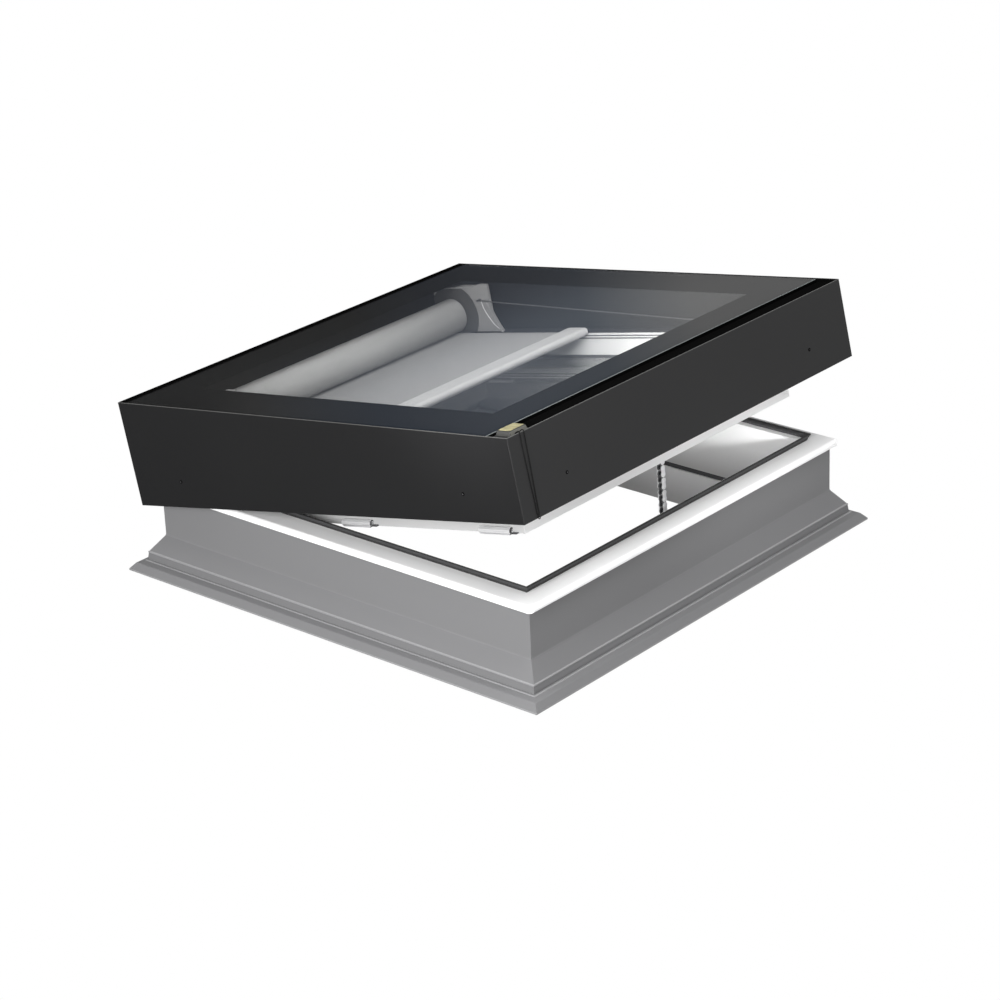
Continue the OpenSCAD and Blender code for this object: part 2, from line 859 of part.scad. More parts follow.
module chain_rollers() {
    color("#e8e8e8")
        in_chain()
            for (i = [1:links])
                at_pin(i)
                    difference() {
                        rod_y(roller_r, -inner_y, inner_y);
                        rod_y(link_pin_r, -20, 20);
                    }
}

module chain_pins() {
    head = outer_y + plate_t;
    color("#8f9194")
        in_chain()
            for (i = [0:links])
                at_pin(i) {
                    rod_y(link_pin_r, -head, head);
                    rod_y(link_pin_r + 0.8, head, head + 1);
                    rod_y(link_pin_r + 0.8, -head - 1, -head);
                }
}

// Roller blind

module at_roll() {
    translate([0, roll_y, roll_z]) children();
}

// Moulded cheek that carries one end of the roll, with a gusset towards the opening side
module end_bracket(side) {
    front = roll_y - 101;
    low = sash_top;
    color("#a9abae")
        in_sash()
            mirror([side > 0 ? 0 : 1, 0, 0])
                difference() {
                    union() {
                        intersection() {
                            box(bracket_x, bracket_x + bracket_t, front, space_back - 1, low, cover_back_h);
                            translate([bracket_x, 0, 0])
                                rotate([90, 0, 90])
                                    linear_extrude(bracket_t)
                                        polygon(concat(
                                            [[front, 189], [front + 14, 187], [front + 44, 177.5],
                                             [space_back - 1, 177.5], [space_back - 1, low], [front, low]]));
                        }
                        translate([bracket_x, 0, 0])
                            rotate([90, 0, 90])
                                linear_extrude(bracket_t)
                                    polygon([[front + 10, low], [front + 10, 143], [front + 2, 132],
                                             [front - 4, 118], [front - 13, 99], [front - 21, low]]);
                        translate([bracket_x - disc_t, 0, 0])
                            rotate([90, 0, 90])
                                linear_extrude(disc_t)
                                    polygon([[front + 10, 146], [front + 4, 132], [front - 2, 118],
                                             [front - 11, 99], [front - 18, low], [front - 21, low],
                                             [front - 13, 99], [front - 4, 118], [front + 2, 132],
                                             [front + 8, 146]]);
                        box(bracket_x - disc_t, space_half, front + 44, space_back - 1, 177.5, 179.5);
                        box(bracket_x + bracket_t, space_half, front + 20, space_back - 1, low, low + 5);
                        for (y = [front + 45, roll_y])
                            translate([(bracket_x + bracket_t + space_half) / 2, y, low + 5])
                                cylinder(r = 3, h = 1.6);
                    }
                    at_roll() rod_x(journal_r + 0.3, bracket_x - cut, bracket_x + bracket_t + cut);
                    on_slope()
                        box(-cover_half, cover_half, -cover_half, 3 * cover_half,
                            -under_glass + 1.5, cover_half);
                }
}

// Dark disc between the bracket and the roll, cut flat below and behind
module end_disc(side) {
    color("#4a4b4d")
        in_sash()
            mirror([side > 0 ? 0 : 1, 0, 0])
                difference() {
                    intersection() {
                        at_roll() rod_x(disc_r, bracket_x - disc_t, bracket_x);
                        box(0, cover_half, -cover_half, space_back - 1, sash_top + 0.5, 177.5);
                    }
                    at_roll() rod_x(journal_r + 0.3, bracket_x - disc_t - cut, bracket_x + cut);
                }
}

module blind_motor() {
    color("#5f6265")
        in_sash()
            at_roll() {
                rod_x(tube_r - tube_wall - 1.5, 40, bracket_x - disc_t - 3.5);
                rod_x(journal_r, bracket_x - disc_t - 3.5, bracket_x + bracket_t + 3);
            }
}

module roller_tube() {
    end = bracket_x - disc_t - 1;
    color(steel)
        in_sash()
            at_roll() {
                difference() {
                    rod_x(tube_r, -end, end);
                    rod_x(tube_r - tube_wall, -end + 6, end + cut);
                }
                rod_x(journal_r, -bracket_x - bracket_t - 3, -end);
            }
}

module cloth_roll() {
    color("#c9cacc")
        in_sash()
            at_roll()
                difference() {
                    rod_x(roll_r, -roll_half, roll_half);
                    rod_x(tube_r, -roll_half - cut, roll_half + cut);
                }
}

// Flat oval bar at the cloth's free edge
module hem_bar() {
    r = hem_h / 2;
    color("#dcdddf")
        in_sash()
            translate([0, hem_y, hem_z]) {
                box(-cloth_half - 4, cloth_half + 4, -hem_w / 2 + r, hem_w / 2 - r, -r, r);
                for (s = [-1, 1])
                    translate([0, s * (hem_w / 2 - r), 0]) rod_x(r, -cloth_half - 4, cloth_half + 4);
            }
}

module hem_caps() {
    r = hem_h / 2;
    color("#b5b7ba")
        in_sash()
            translate([0, hem_y, hem_z])
                for (x = [-cloth_half - 7, cloth_half + 4])
                    hull()
                        for (s = [-1, 1])
                            translate([0, s * (hem_w / 2 - r), 0]) rod_x(r, x, x + 3);
}

module blind_cloth() {
    color("#c9cacc")
        in_sash()
            box(-cloth_half, cloth_half, hem_y + hem_w / 2, roll_y, cloth_z, cloth_z + cloth_t);
}

// Taut wires beside the cloth, from the brackets down to the opening side
wire_x = cloth_half + 5;
wire_from = [roll_y - 76, roll_z + 31];
wire_to = [-space_half + 12, sash_top + 12];

module guide_wire(side) {
    run = wire_from - wire_to;
    color("#8d9094")
        in_sash()
            mirror([side > 0 ? 0 : 1, 0, 0]) {
                translate([wire_x, wire_to[0], wire_to[1]])
                    rotate([atan2(run[1], run[0]), 0, 0]) rod_y(wire_r, 0, norm(run));
                translate([0, wire_from[0], wire_from[1]])
                    rod_x(2, wire_x - 2, bracket_x);
            }
}

module wire_anchor(side) {
    color("#6b6e72")
        in_sash()
            mirror([side > 0 ? 0 : 1, 0, 0])
                box(wire_x - 6, wire_x + 6, -space_half, wire_to[0], sash_top + 2, sash_top + 22);
}

kerb_shell();
kerb_insulation();
kerb_lining();
frame_lining();
lining_seal();
rim();
frame_gasket();
hinge_base(-hinge_x);  // hinge_base_left
hinge_base(hinge_x);  // hinge_base_right
hinge_pin(-hinge_x);  // hinge_pin_left
hinge_pin(hinge_x);  // hinge_pin_right
drive_casing();
drive_motor();
drive_end_cap(-1);  // drive_end_cap_left
drive_end_cap(1);  // drive_end_cap_right
chain_guide();
chain_magazine();
sash_frame();
inner_trim();
glass_gasket();
lower_pane();
upper_pane();
pane_spacer();
edge_seal();
spacer_frame();
cover_carrier();
cover_skirt();
outer_glass();
glass_border();
glass_seal();
cover_screws();
retaining_clips();
clip_tongues();
sensor_housing();
solar_cell();
sensor_cable();
cable_grommet();
hinge_leaf(-hinge_x);  // hinge_leaf_left
hinge_leaf(hinge_x);  // hinge_leaf_right
chain_bracket();
chain_pin();
end_bracket(-1);  // end_bracket_left
end_bracket(1);  // end_bracket_right
end_disc(-1);  // end_disc_left
end_disc(1);  // end_disc_right
blind_motor();
guide_wire(-1);  // guide_wire_left
guide_wire(1);  // guide_wire_right
wire_anchor(-1);  // wire_anchor_left
wire_anchor(1);  // wire_anchor_right
roller_tube();
cloth_roll();
hem_bar();
hem_caps();
blind_cloth();
chain_end_block();
chain_outer_plates();
chain_inner_plates();
chain_rollers();
chain_pins();
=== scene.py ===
# Flat-roof skylight with a raised glazed cover and a roller blind, dressed for a studio picture.
import json
import math

import bmesh
import bpy
from mathutils import Matrix, Vector


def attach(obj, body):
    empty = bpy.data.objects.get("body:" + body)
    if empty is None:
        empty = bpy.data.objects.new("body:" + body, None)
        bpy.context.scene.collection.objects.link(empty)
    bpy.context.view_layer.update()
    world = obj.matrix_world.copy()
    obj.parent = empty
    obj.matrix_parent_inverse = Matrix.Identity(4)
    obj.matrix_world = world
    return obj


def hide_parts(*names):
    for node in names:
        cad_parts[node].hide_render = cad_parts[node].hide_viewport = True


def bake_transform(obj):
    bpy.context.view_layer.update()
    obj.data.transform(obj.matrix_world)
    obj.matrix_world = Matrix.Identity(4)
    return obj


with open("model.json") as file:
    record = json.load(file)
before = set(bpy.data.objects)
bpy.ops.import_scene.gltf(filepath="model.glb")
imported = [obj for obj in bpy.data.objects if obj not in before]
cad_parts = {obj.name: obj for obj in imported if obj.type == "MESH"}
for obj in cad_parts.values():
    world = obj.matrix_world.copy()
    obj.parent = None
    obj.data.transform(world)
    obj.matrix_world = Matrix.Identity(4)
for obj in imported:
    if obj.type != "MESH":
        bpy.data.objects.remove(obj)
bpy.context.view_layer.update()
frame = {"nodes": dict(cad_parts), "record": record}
scene = bpy.context.scene
scene.view_settings.view_transform = "Standard"

# The sash's own frame: y and z as if it were closed, z = 0 at the cover's lower edge
sash = {"hingeY": 0.430, "hingeZ": 0.060, "lift": 0.1435, "angle": 12.1}
sashFrame = (
    Matrix.Translation((0, sash["hingeY"], sash["hingeZ"] + sash["lift"]))
    @ Matrix.Rotation(math.radians(-sash["angle"]), 4, "X")
    @ Matrix.Translation((0, -sash["hingeY"], -sash["hingeZ"]))
)
# The outer glass plane: y runs up the slope from the cover's front edge, z = 0 is the cover's top
cover = {"half": 0.481, "front": 0.151, "back": 0.202, "recess": 0.008}
slopeFrame = sashFrame @ Matrix.Translation((0, -cover["half"], cover["front"])) @ Matrix.Rotation(
    math.atan((cover["back"] - cover["front"]) / (2 * cover["half"])), 4, "X")


# Camera and studio

# Angles in degrees, distances in metres from the object's middle, lens and sensor in mm
camera = {"yaw": -49.83, "pitch": 22.44, "roll": -1.94, "side": 0.0912, "rise": 0.1797, "far": 5.5254,
          "sensor": 36, "lens": 104.317, "shift": -0.05, "reach": 60}


def placeCamera():
    yaw, pitch, roll = (math.radians(camera[k]) for k in ("yaw", "pitch", "roll"))
    back = Vector((math.sin(yaw) * math.cos(pitch), -math.cos(yaw) * math.cos(pitch), math.sin(pitch)))
    level = Vector((math.cos(yaw), math.sin(yaw), 0))
    over = back.cross(level)
    right = math.cos(roll) * level + math.sin(roll) * over
    up = math.cos(roll) * over - math.sin(roll) * level
    data = bpy.data.cameras.new("studioCamera")
    data.sensor_width = camera["sensor"]
    data.lens = camera["lens"]
    data.shift_x = data.shift_y = camera["shift"]
    data.clip_end = camera["reach"]
    eye = bpy.data.objects.new("studioCamera", data)
    turn = Matrix((right, up, back)).transposed().to_4x4()
    stand = back * camera["far"] + right * camera["side"] + up * camera["rise"]
    eye.matrix_world = Matrix.Translation(stand) @ turn
    scene.collection.objects.link(eye)
    scene.camera = eye


# Feeds an input with a socket or a constant
def feed(tree, term, target):
    if isinstance(term, bpy.types.NodeSocket):
        tree.links.new(term, target)
    else:
        target.default_value = term


def setInputs(node, **values):
    for key, value in values.items():
        node.inputs[key.replace("_", " ")].default_value = value


# Each value goes to the input of that name, with spaces for underscores, or else to the node's property
def addNode(tree, kind, **values):
    node = tree.nodes.new(kind)
    for key, value in values.items():
        if key.replace("_", " ") in node.inputs:
            setInputs(node, **{key: value})
        else:
            setattr(node, key, value)
    return node


# The output of one math node; each term is a socket or a number
def mathNode(tree, operation, *terms):
    node = addNode(tree, "ShaderNodeMath", operation=operation)
    for term, target in zip(terms, node.inputs):
        feed(tree, term, target)
    return node.outputs[0]


# The same for a vector math node
def vectorNode(tree, operation, first, second):
    node = addNode(tree, "ShaderNodeVectorMath", operation=operation)
    feed(tree, first, node.inputs[0])
    feed(tree, second, node.inputs["Scale" if operation == "SCALE" else 1])
    return node.outputs["Value" if operation == "DOT_PRODUCT" else 0]


def noiseNode(tree, where, scale, detail):
    noise = addNode(tree, "ShaderNodeTexNoise", Detail=detail)
    feed(tree, where, noise.inputs["Vector"])
    feed(tree, scale, noise.inputs["Scale"])
    return noise.outputs["Fac"]


def rampNode(tree, source, stops):
    ramp = addNode(tree, "ShaderNodeValToRGB")
    elements = ramp.color_ramp.elements
    while len(elements) < len(stops):
        elements.new(0.5)
    for element, (position, colour) in zip(elements, stops):
        element.position = position
        element.color = (*colour, 1) if isinstance(colour, tuple) else (colour, colour, colour, 1)
    feed(tree, source, ramp.inputs["Fac"])
    return ramp.outputs["Color"]


# Spreads the values between two ends over 0 to 1, or over the range that the values name
def spreadNode(tree, source, low, high, **values):
    spread = addNode(tree, "ShaderNodeMapRange", From_Min=low, From_Max=high, **values)
    feed(tree, source, spread.inputs["Value"])
    return spread.outputs["Result"]


def mixColours(tree, share, first, second):
    mix = addNode(tree, "ShaderNodeMix", data_type="RGBA")
    for label, term in (("Factor", share), ("A", first), ("B", second)):
        feed(tree, term, mix.inputs[label])
    return mix.outputs["Result"]


def mixShaders(tree, share, first, second):
    mix = addNode(tree, "ShaderNodeMixShader")
    for term, target in zip((share, first, second), mix.inputs):
        feed(tree, term, target)
    return mix.outputs[0]


# The coordinates of a texture space, whole and split
def splitCoords(tree, space):
    where = addNode(tree, "ShaderNodeTexCoord").outputs[space]
    split = addNode(tree, "ShaderNodeSeparateXYZ")
    feed(tree, where, split.inputs[0])
    return where, split.outputs


# True for rays of the camera, also through glass, unless they have bounced in one of the ways named
def cameraRays(tree, path, *bounces):
    through = path["Is Transmission Ray"]
    for bounce in bounces:
        through = mathNode(tree, "MULTIPLY", through, mathNode(tree, "LESS_THAN", path[bounce], 0.5))
    return mathNode(tree, "MAXIMUM", path["Is Camera Ray"], through)


def newMaterial(name):
    material = bpy.data.materials.new(name)
    material.use_nodes = True
    tree = material.node_tree
    return material, tree, tree.nodes["Principled BSDF"]


# The ramps are what reflections see: in the front and back part of the outer glass, and across the floor
studio = {
    "skyDiffuse": 0.34, "skyGloss": (0.75, 0.75, 0.75, 1), "darkTowards": (0.70, 0.70, 0.1),
    "darkEnds": (0.8, 0.95), "acrossEnds": (0.62, 0.77), "upwardEnds": (0.117, 0.142),
    "frontPart": [(0.0, 0.03), (0.15, 0.1), (0.35, (0.1, 0.12, 0.155)), (0.55, (0.165, 0.19, 0.235)),
                  (0.72, (0.175, 0.2, 0.235)), (0.88, 0.35)],
    "backPart": [(0.0, 0.06), (0.36, 0.052), (0.5, (0.058, 0.063, 0.075)), (0.73, (0.092, 0.102, 0.122)),
                 (0.92, 0.25)],
    "floorZ": -0.03, "floorSize": 30, "floorColour": 0.4, "floorEnds": (-1.6, 2.4),
    "floorSheen": [(0.0, 0.15), (0.1, 0.12), (0.27, 0.12), (0.6, 0.8), (0.75, 0.64), (0.95, 0.38)],
}
white = (1, 1, 1, 1)


def buildWorld():
    world = bpy.data.worlds.new("studioSky")
    scene.world = world
    world.use_nodes = True
    tree = world.node_tree
    tree.nodes.clear()
    out = addNode(tree, "ShaderNodeOutputWorld")
    path = addNode(tree, "ShaderNodeLightPath").outputs
    # white for the camera, also through glass, but not for light that has bounced inside the blind's space
    seen = cameraRays(tree, path, "Glossy Depth", "Diffuse Depth")
    # reflections: bright all round, but where the outer glass looks, dark to the left and bluish to the right
    where, split = splitCoords(tree, "Generated")
    across = spreadNode(tree, split["X"], *studio["acrossEnds"])
    upward = spreadNode(tree, split["Z"], *studio["upwardEnds"], interpolation_type="SMOOTHSTEP")
    frontPart = rampNode(tree, across, studio["frontPart"])
    backPart = rampNode(tree, across, studio["backPart"])
    inGlass = mixColours(tree, upward, backPart, frontPart)
    towards = vectorNode(tree, "DOT_PRODUCT", where, studio["darkTowards"])
    near = spreadNode(tree, towards, *studio["darkEnds"], interpolation_type="SMOOTHSTEP")
    lit = addNode(tree, "ShaderNodeBackground", Color=white, Strength=studio["skyDiffuse"])
    shine = addNode(tree, "ShaderNodeBackground", Strength=1.0)
    feed(tree, mixColours(tree, near, studio["skyGloss"], inGlass), shine.inputs["Color"])
    backdrop = addNode(tree, "ShaderNodeBackground", Color=white, Strength=1.0)
    bounced = mixShaders(tree, path["Is Glossy Ray"], lit.outputs[0], shine.outputs[0])
    feed(tree, mixShaders(tree, seen, bounced, backdrop.outputs[0]), out.inputs[0])


# Soft square lamps, all aimed at the object's middle
lamps = {
    "keyLeft": {"at": (-3.0, -0.9, 1.1), "size": 1.6, "power": 105},
    "frontRight": {"at": (-0.6, -3.0, 0.9), "size": 1.4, "power": 14.5},
    "topSoft": {"at": (-0.2, -0.55, 3.1), "size": 2.6, "power": 84},
}
lampAim = (0, 0, 0.15)
# Narrow beams: through the glass onto the wall behind the hem bar, and under the sash onto the far lining
beams = {
    "trimBeam": {"at": (-3.0, -1.0, 1.3), "towards": (0.352, -0.12, 0.31), "cone": 6.5, "power": 800},
    "liningBeam": {"at": (-3.0, -2.2, 0.76), "towards": (0.4, -0.33, 0.172), "cone": 4.4, "power": 640},
}
beamRadius = 0.12


def buildFloor():
    bm = bmesh.new()
    bmesh.ops.create_grid(bm, x_segments=1, y_segments=1, size=studio["floorSize"])
    bmesh.ops.translate(bm, verts=bm.verts, vec=(0, 0, studio["floorZ"]))
    mesh = bpy.data.meshes.new("studioFloor")
    bm.to_mesh(mesh)
    bm.free()
    floor = bpy.data.objects.new("studioFloor", mesh)
    scene.collection.objects.link(floor)
    material, tree, body = newMaterial("paleFloor")
    setInputs(body, Roughness=0.9, Specular_IOR_Level=0, Emission_Color=white)
    path = addNode(tree, "ShaderNodeLightPath").outputs
    seen = cameraRays(tree, path, "Glossy Depth")
    # only diffuse light sees the floor's own tone; reflections see a soft ramp across it
    bounce = mathNode(tree, "SUBTRACT", 1.0, mathNode(tree, "MAXIMUM", seen, path["Is Glossy Ray"]))
    level = mathNode(tree, "MULTIPLY", bounce, studio["floorColour"])
    tone = addNode(tree, "ShaderNodeCombineColor")
    for socket in tone.inputs:
        feed(tree, level, socket)
    feed(tree, tone.outputs[0], body.inputs["Base Color"])
    split = splitCoords(tree, "Object")[1]
    diagonal = mathNode(tree, "SUBTRACT", split["X"], split["Y"])
    sheen = rampNode(tree, spreadNode(tree, diagonal, *studio["floorEnds"]), studio["floorSheen"])
    gloss = mathNode(tree, "MULTIPLY", sheen, path["Is Glossy Ray"])
    feed(tree, mathNode(tree, "MAXIMUM", seen, gloss), body.inputs["Emission Strength"])
    mesh.materials.append(material)


def addLamp(name, kind, spec, aim):
    data = bpy.data.lights.new(name, kind)
    data.energy = spec["power"]
    lamp = bpy.data.objects.new(name, data)
    lamp.location = spec["at"]
    lamp.rotation_euler = (Vector(aim) - lamp.location).to_track_quat("-Z", "Y").to_euler()
    scene.collection.objects.link(lamp)
    return data


def buildStudio():
    buildWorld()
    for name, spec in lamps.items():
        data = addLamp(name, "AREA", spec, lampAim)
        data.shape = "SQUARE"
        data.size = spec["size"]
    for name, spec in beams.items():
        data = addLamp(name, "SPOT", spec, spec["towards"])
        data.spot_size = math.radians(spec["cone"])
        data.spot_blend = 1.0
        data.shadow_soft_size = beamRadius
    buildFloor()


placeCamera()
buildStudio()
print("camera and studio stand")


# Finishes

def newGroup(name, inputs, outputs):
    group = bpy.data.node_groups.new(name, "ShaderNodeTree")
    for label, kind, value in inputs:
        socket = group.interface.new_socket(label, in_out="INPUT", socket_type=kind)
        socket.default_value = value
    for label, kind in outputs:
        group.interface.new_socket(label, in_out="OUTPUT", socket_type=kind)
    return group, group.nodes.new("NodeGroupInput").outputs, group.nodes.new("NodeGroupOutput").inputs


def buildToneGroup():
    group, source, target = newGroup(
        "surfaceTone",
        [("Colour", "NodeSocketColor", (0.5, 0.5, 0.5, 1)), ("Cloud Scale", "NodeSocketFloat", 3.0),
         ("Cloud Amount", "NodeSocketFloat", 0.05), ("Grain Scale", "NodeSocketFloat", 900.0),
         ("Roughness", "NodeSocketFloat", 0.5), ("Rough Amount", "NodeSocketFloat", 0.05)],
        [("Colour", "NodeSocketColor"), ("Roughness", "NodeSocketFloat"), ("Height", "NodeSocketFloat")])
    where = addNode(group, "ShaderNodeTexCoord").outputs["Object"]
    cloud = noiseNode(group, where, source["Cloud Scale"], 3.0)
    centred = mathNode(group, "SUBTRACT", cloud, 0.5)
    share = mathNode(group, "MULTIPLY_ADD", centred, source["Cloud Amount"], 1.0)
    feed(group, vectorNode(group, "SCALE", source["Colour"], share), target["Colour"])
    rough = mathNode(group, "MULTIPLY_ADD", centred, source["Rough Amount"], source["Roughness"])
    feed(group, rough, target["Roughness"])
    feed(group, noiseNode(group, where, source["Grain Scale"], 2.0), target["Height"])
    return group


# Screen cloth: two crossed yarn waves; gives a mask of yarn against gap and a height
def buildWeaveGroup():
    group, source, target = newGroup(
        "clothWeave", [("Yarns", "NodeSocketFloat", 0.6)],
        [("Mask", "NodeSocketFloat"), ("Height", "NodeSocketFloat")])
    split = splitCoords(group, "UV")[1]
    waves = []
    for axis in ("X", "Y"):
        turns = mathNode(group, "MULTIPLY", split[axis], source["Yarns"])
        waves.append(mathNode(group, "ABSOLUTE", mathNode(group, "SINE", turns)))
    over = mathNode(group, "MAXIMUM", waves[0], waves[1])
    both = mathNode(group, "MULTIPLY", waves[0], waves[1])
    plain = mathNode(group, "MULTIPLY", over, 0.65)
    feed(group, mathNode(group, "MULTIPLY_ADD", both, 0.35, plain), target["Mask"])
    feed(group, over, target["Height"])
    return group


# Drawn or rolled metal: fine streaks along one axis
def buildStreakGroup():
    group, source, target = newGroup(
        "drawnStreaks",
        [("Along", "NodeSocketVector", (20.0, 900.0, 900.0)), ("Roughness", "NodeSocketFloat", 0.3),
         ("Amount", "NodeSocketFloat", 0.2)],
        [("Roughness", "NodeSocketFloat"), ("Height", "NodeSocketFloat")])
    where = addNode(group, "ShaderNodeTexCoord").outputs["Object"]
    streak = noiseNode(group, vectorNode(group, "MULTIPLY", where, source["Along"]), 1.0, 3.0)
    centred = mathNode(group, "SUBTRACT", streak, 0.5)
    rough = mathNode(group, "MULTIPLY_ADD", centred, source["Amount"], source["Roughness"])
    feed(group, rough, target["Roughness"])
    feed(group, streak, target["Height"])
    return group


toneGroup = buildToneGroup()
weaveGroup = buildWeaveGroup()
streakGroup = buildStreakGroup()


def addRelief(tree, body, height, strength, distance):
    dent = addNode(tree, "ShaderNodeBump", Strength=strength, Distance=distance)
    feed(tree, height, dent.inputs["Height"])
    feed(tree, dent.outputs["Normal"], body.inputs["Normal"])


# A solid finish: clouded colour, varied roughness and a grain or streaks in the relief; paintedShade is
# painted
# shade darker towards the bottom: two heights in metres and the share of the colour left at the lower one
def finish(name, colour, roughness=0.5, cloud=0.06, cloudScale=4.0, grain=900.0, bump=0.02, roughAmount=0.08,
           streaks=None, paintedShade=None, **principled):
    material, tree, body = newMaterial(name)
    colour = colour if isinstance(colour, tuple) else (colour, colour, colour)
    tone = addNode(tree, "ShaderNodeGroup", node_tree=toneGroup)
    setInputs(tone, Colour=(*colour, 1), Cloud_Scale=cloudScale, Cloud_Amount=cloud, Grain_Scale=grain,
              Roughness=roughness, Rough_Amount=roughAmount)
    coloured = tone.outputs["Colour"]
    # painted shade: the colour darkens from the upper height down to the lower one
    if paintedShade:
        low, high, left = paintedShade
        share = spreadNode(tree, splitCoords(tree, "Object")[1]["Z"], low, high, To_Min=left)
        coloured = vectorNode(tree, "SCALE", coloured, share)
    feed(tree, coloured, body.inputs["Base Color"])
    surface = tone
    if streaks:
        surface = addNode(tree, "ShaderNodeGroup", node_tree=streakGroup)
        setInputs(surface, Along=streaks, Roughness=roughness, Amount=roughAmount * 2)
    feed(tree, surface.outputs["Roughness"], body.inputs["Roughness"])
    addRelief(tree, body, surface.outputs["Height"], bump, 0.001)
    setInputs(body, **principled)
    return material


# Woven screen cloth by its UV, in mm; shade is painted shade: an axis, its two ends and stops of shade
# between them
def clothFinish(name, colour, gap, yarns, shade):
    material, tree, body = newMaterial(name)
    weave = addNode(tree, "ShaderNodeGroup", node_tree=weaveGroup)
    setInputs(weave, Yarns=math.pi * yarns)
    where, split = splitCoords(tree, "UV")
    cloudy = mathNode(tree, "MULTIPLY_ADD", noiseNode(tree, where, 0.012, 2.0), 0.16, 0.92)
    amount = mathNode(tree, "MULTIPLY", weave.outputs["Mask"], cloudy)
    woven = mixColours(tree, amount, (*gap, 1), (*colour, 1))
    axis, low, high, stops = shade
    share = mathNode(tree, "DIVIDE", mathNode(tree, "SUBTRACT", split[axis], low), high - low)
    shaded = vectorNode(tree, "MULTIPLY", woven, rampNode(tree, share, stops))
    feed(tree, shaded, body.inputs["Base Color"])
    setInputs(body, Roughness=0.8, Sheen_Weight=0.2)
    addRelief(tree, body, weave.outputs["Height"], 0.25, 0.0002)
    return material


# Tan cell film with fine conductor lines and darker seams between its strips (metres)
cellFilm = {"linePitch": 0.0022, "lineAbove": 0.93, "seamFrom": 0.423, "strip": 0.0051, "seam": 0.0005,
            "seamColour": (0.16, 0.13, 0.08, 1),
            "tones": [(0.3, (0.33, 0.3, 0.15)), (0.7, (0.46, 0.42, 0.22))]}


def cellFinish(name):
    material, tree, body = newMaterial(name)
    where, split = splitCoords(tree, "Object")
    turns = mathNode(tree, "MULTIPLY", split["Y"], 2 * math.pi / cellFilm["linePitch"])
    thin = mathNode(tree, "GREATER_THAN", mathNode(tree, "SINE", turns), cellFilm["lineAbove"])
    along = mathNode(tree, "ADD", split["X"], cellFilm["seamFrom"])
    seam = mathNode(tree, "LESS_THAN", mathNode(tree, "PINGPONG", along, cellFilm["strip"]), cellFilm["seam"])
    lines = mathNode(tree, "MAXIMUM", seam, mathNode(tree, "MULTIPLY", thin, 0.5))
    film = rampNode(tree, noiseNode(tree, where, 120.0, 3.0), cellFilm["tones"])
    feed(tree, mixColours(tree, lines, film, cellFilm["seamColour"]), body.inputs["Base Color"])
    setInputs(body, Roughness=0.3, Coat_Weight=0.5)
    return material


# Clear glass that lets shadow and diffuse rays straight through, with a tint
def glassFinish(name, tint, shadowTint):
    material, tree, body = newMaterial(name)
    setInputs(body, Base_Color=(*tint, 1), Roughness=0.0, IOR=1.45, Transmission_Weight=1.0)
    clear = addNode(tree, "ShaderNodeBsdfTransparent", Color=(*shadowTint, 1))
    path = addNode(tree, "ShaderNodeLightPath").outputs
    some = mathNode(tree, "MAXIMUM", path["Is Shadow Ray"], path["Is Diffuse Ray"])
    surface = mixShaders(tree, some, body.outputs[0], clear.outputs[0])
    feed(tree, surface, tree.nodes["Material Output"].inputs["Surface"])
    return material


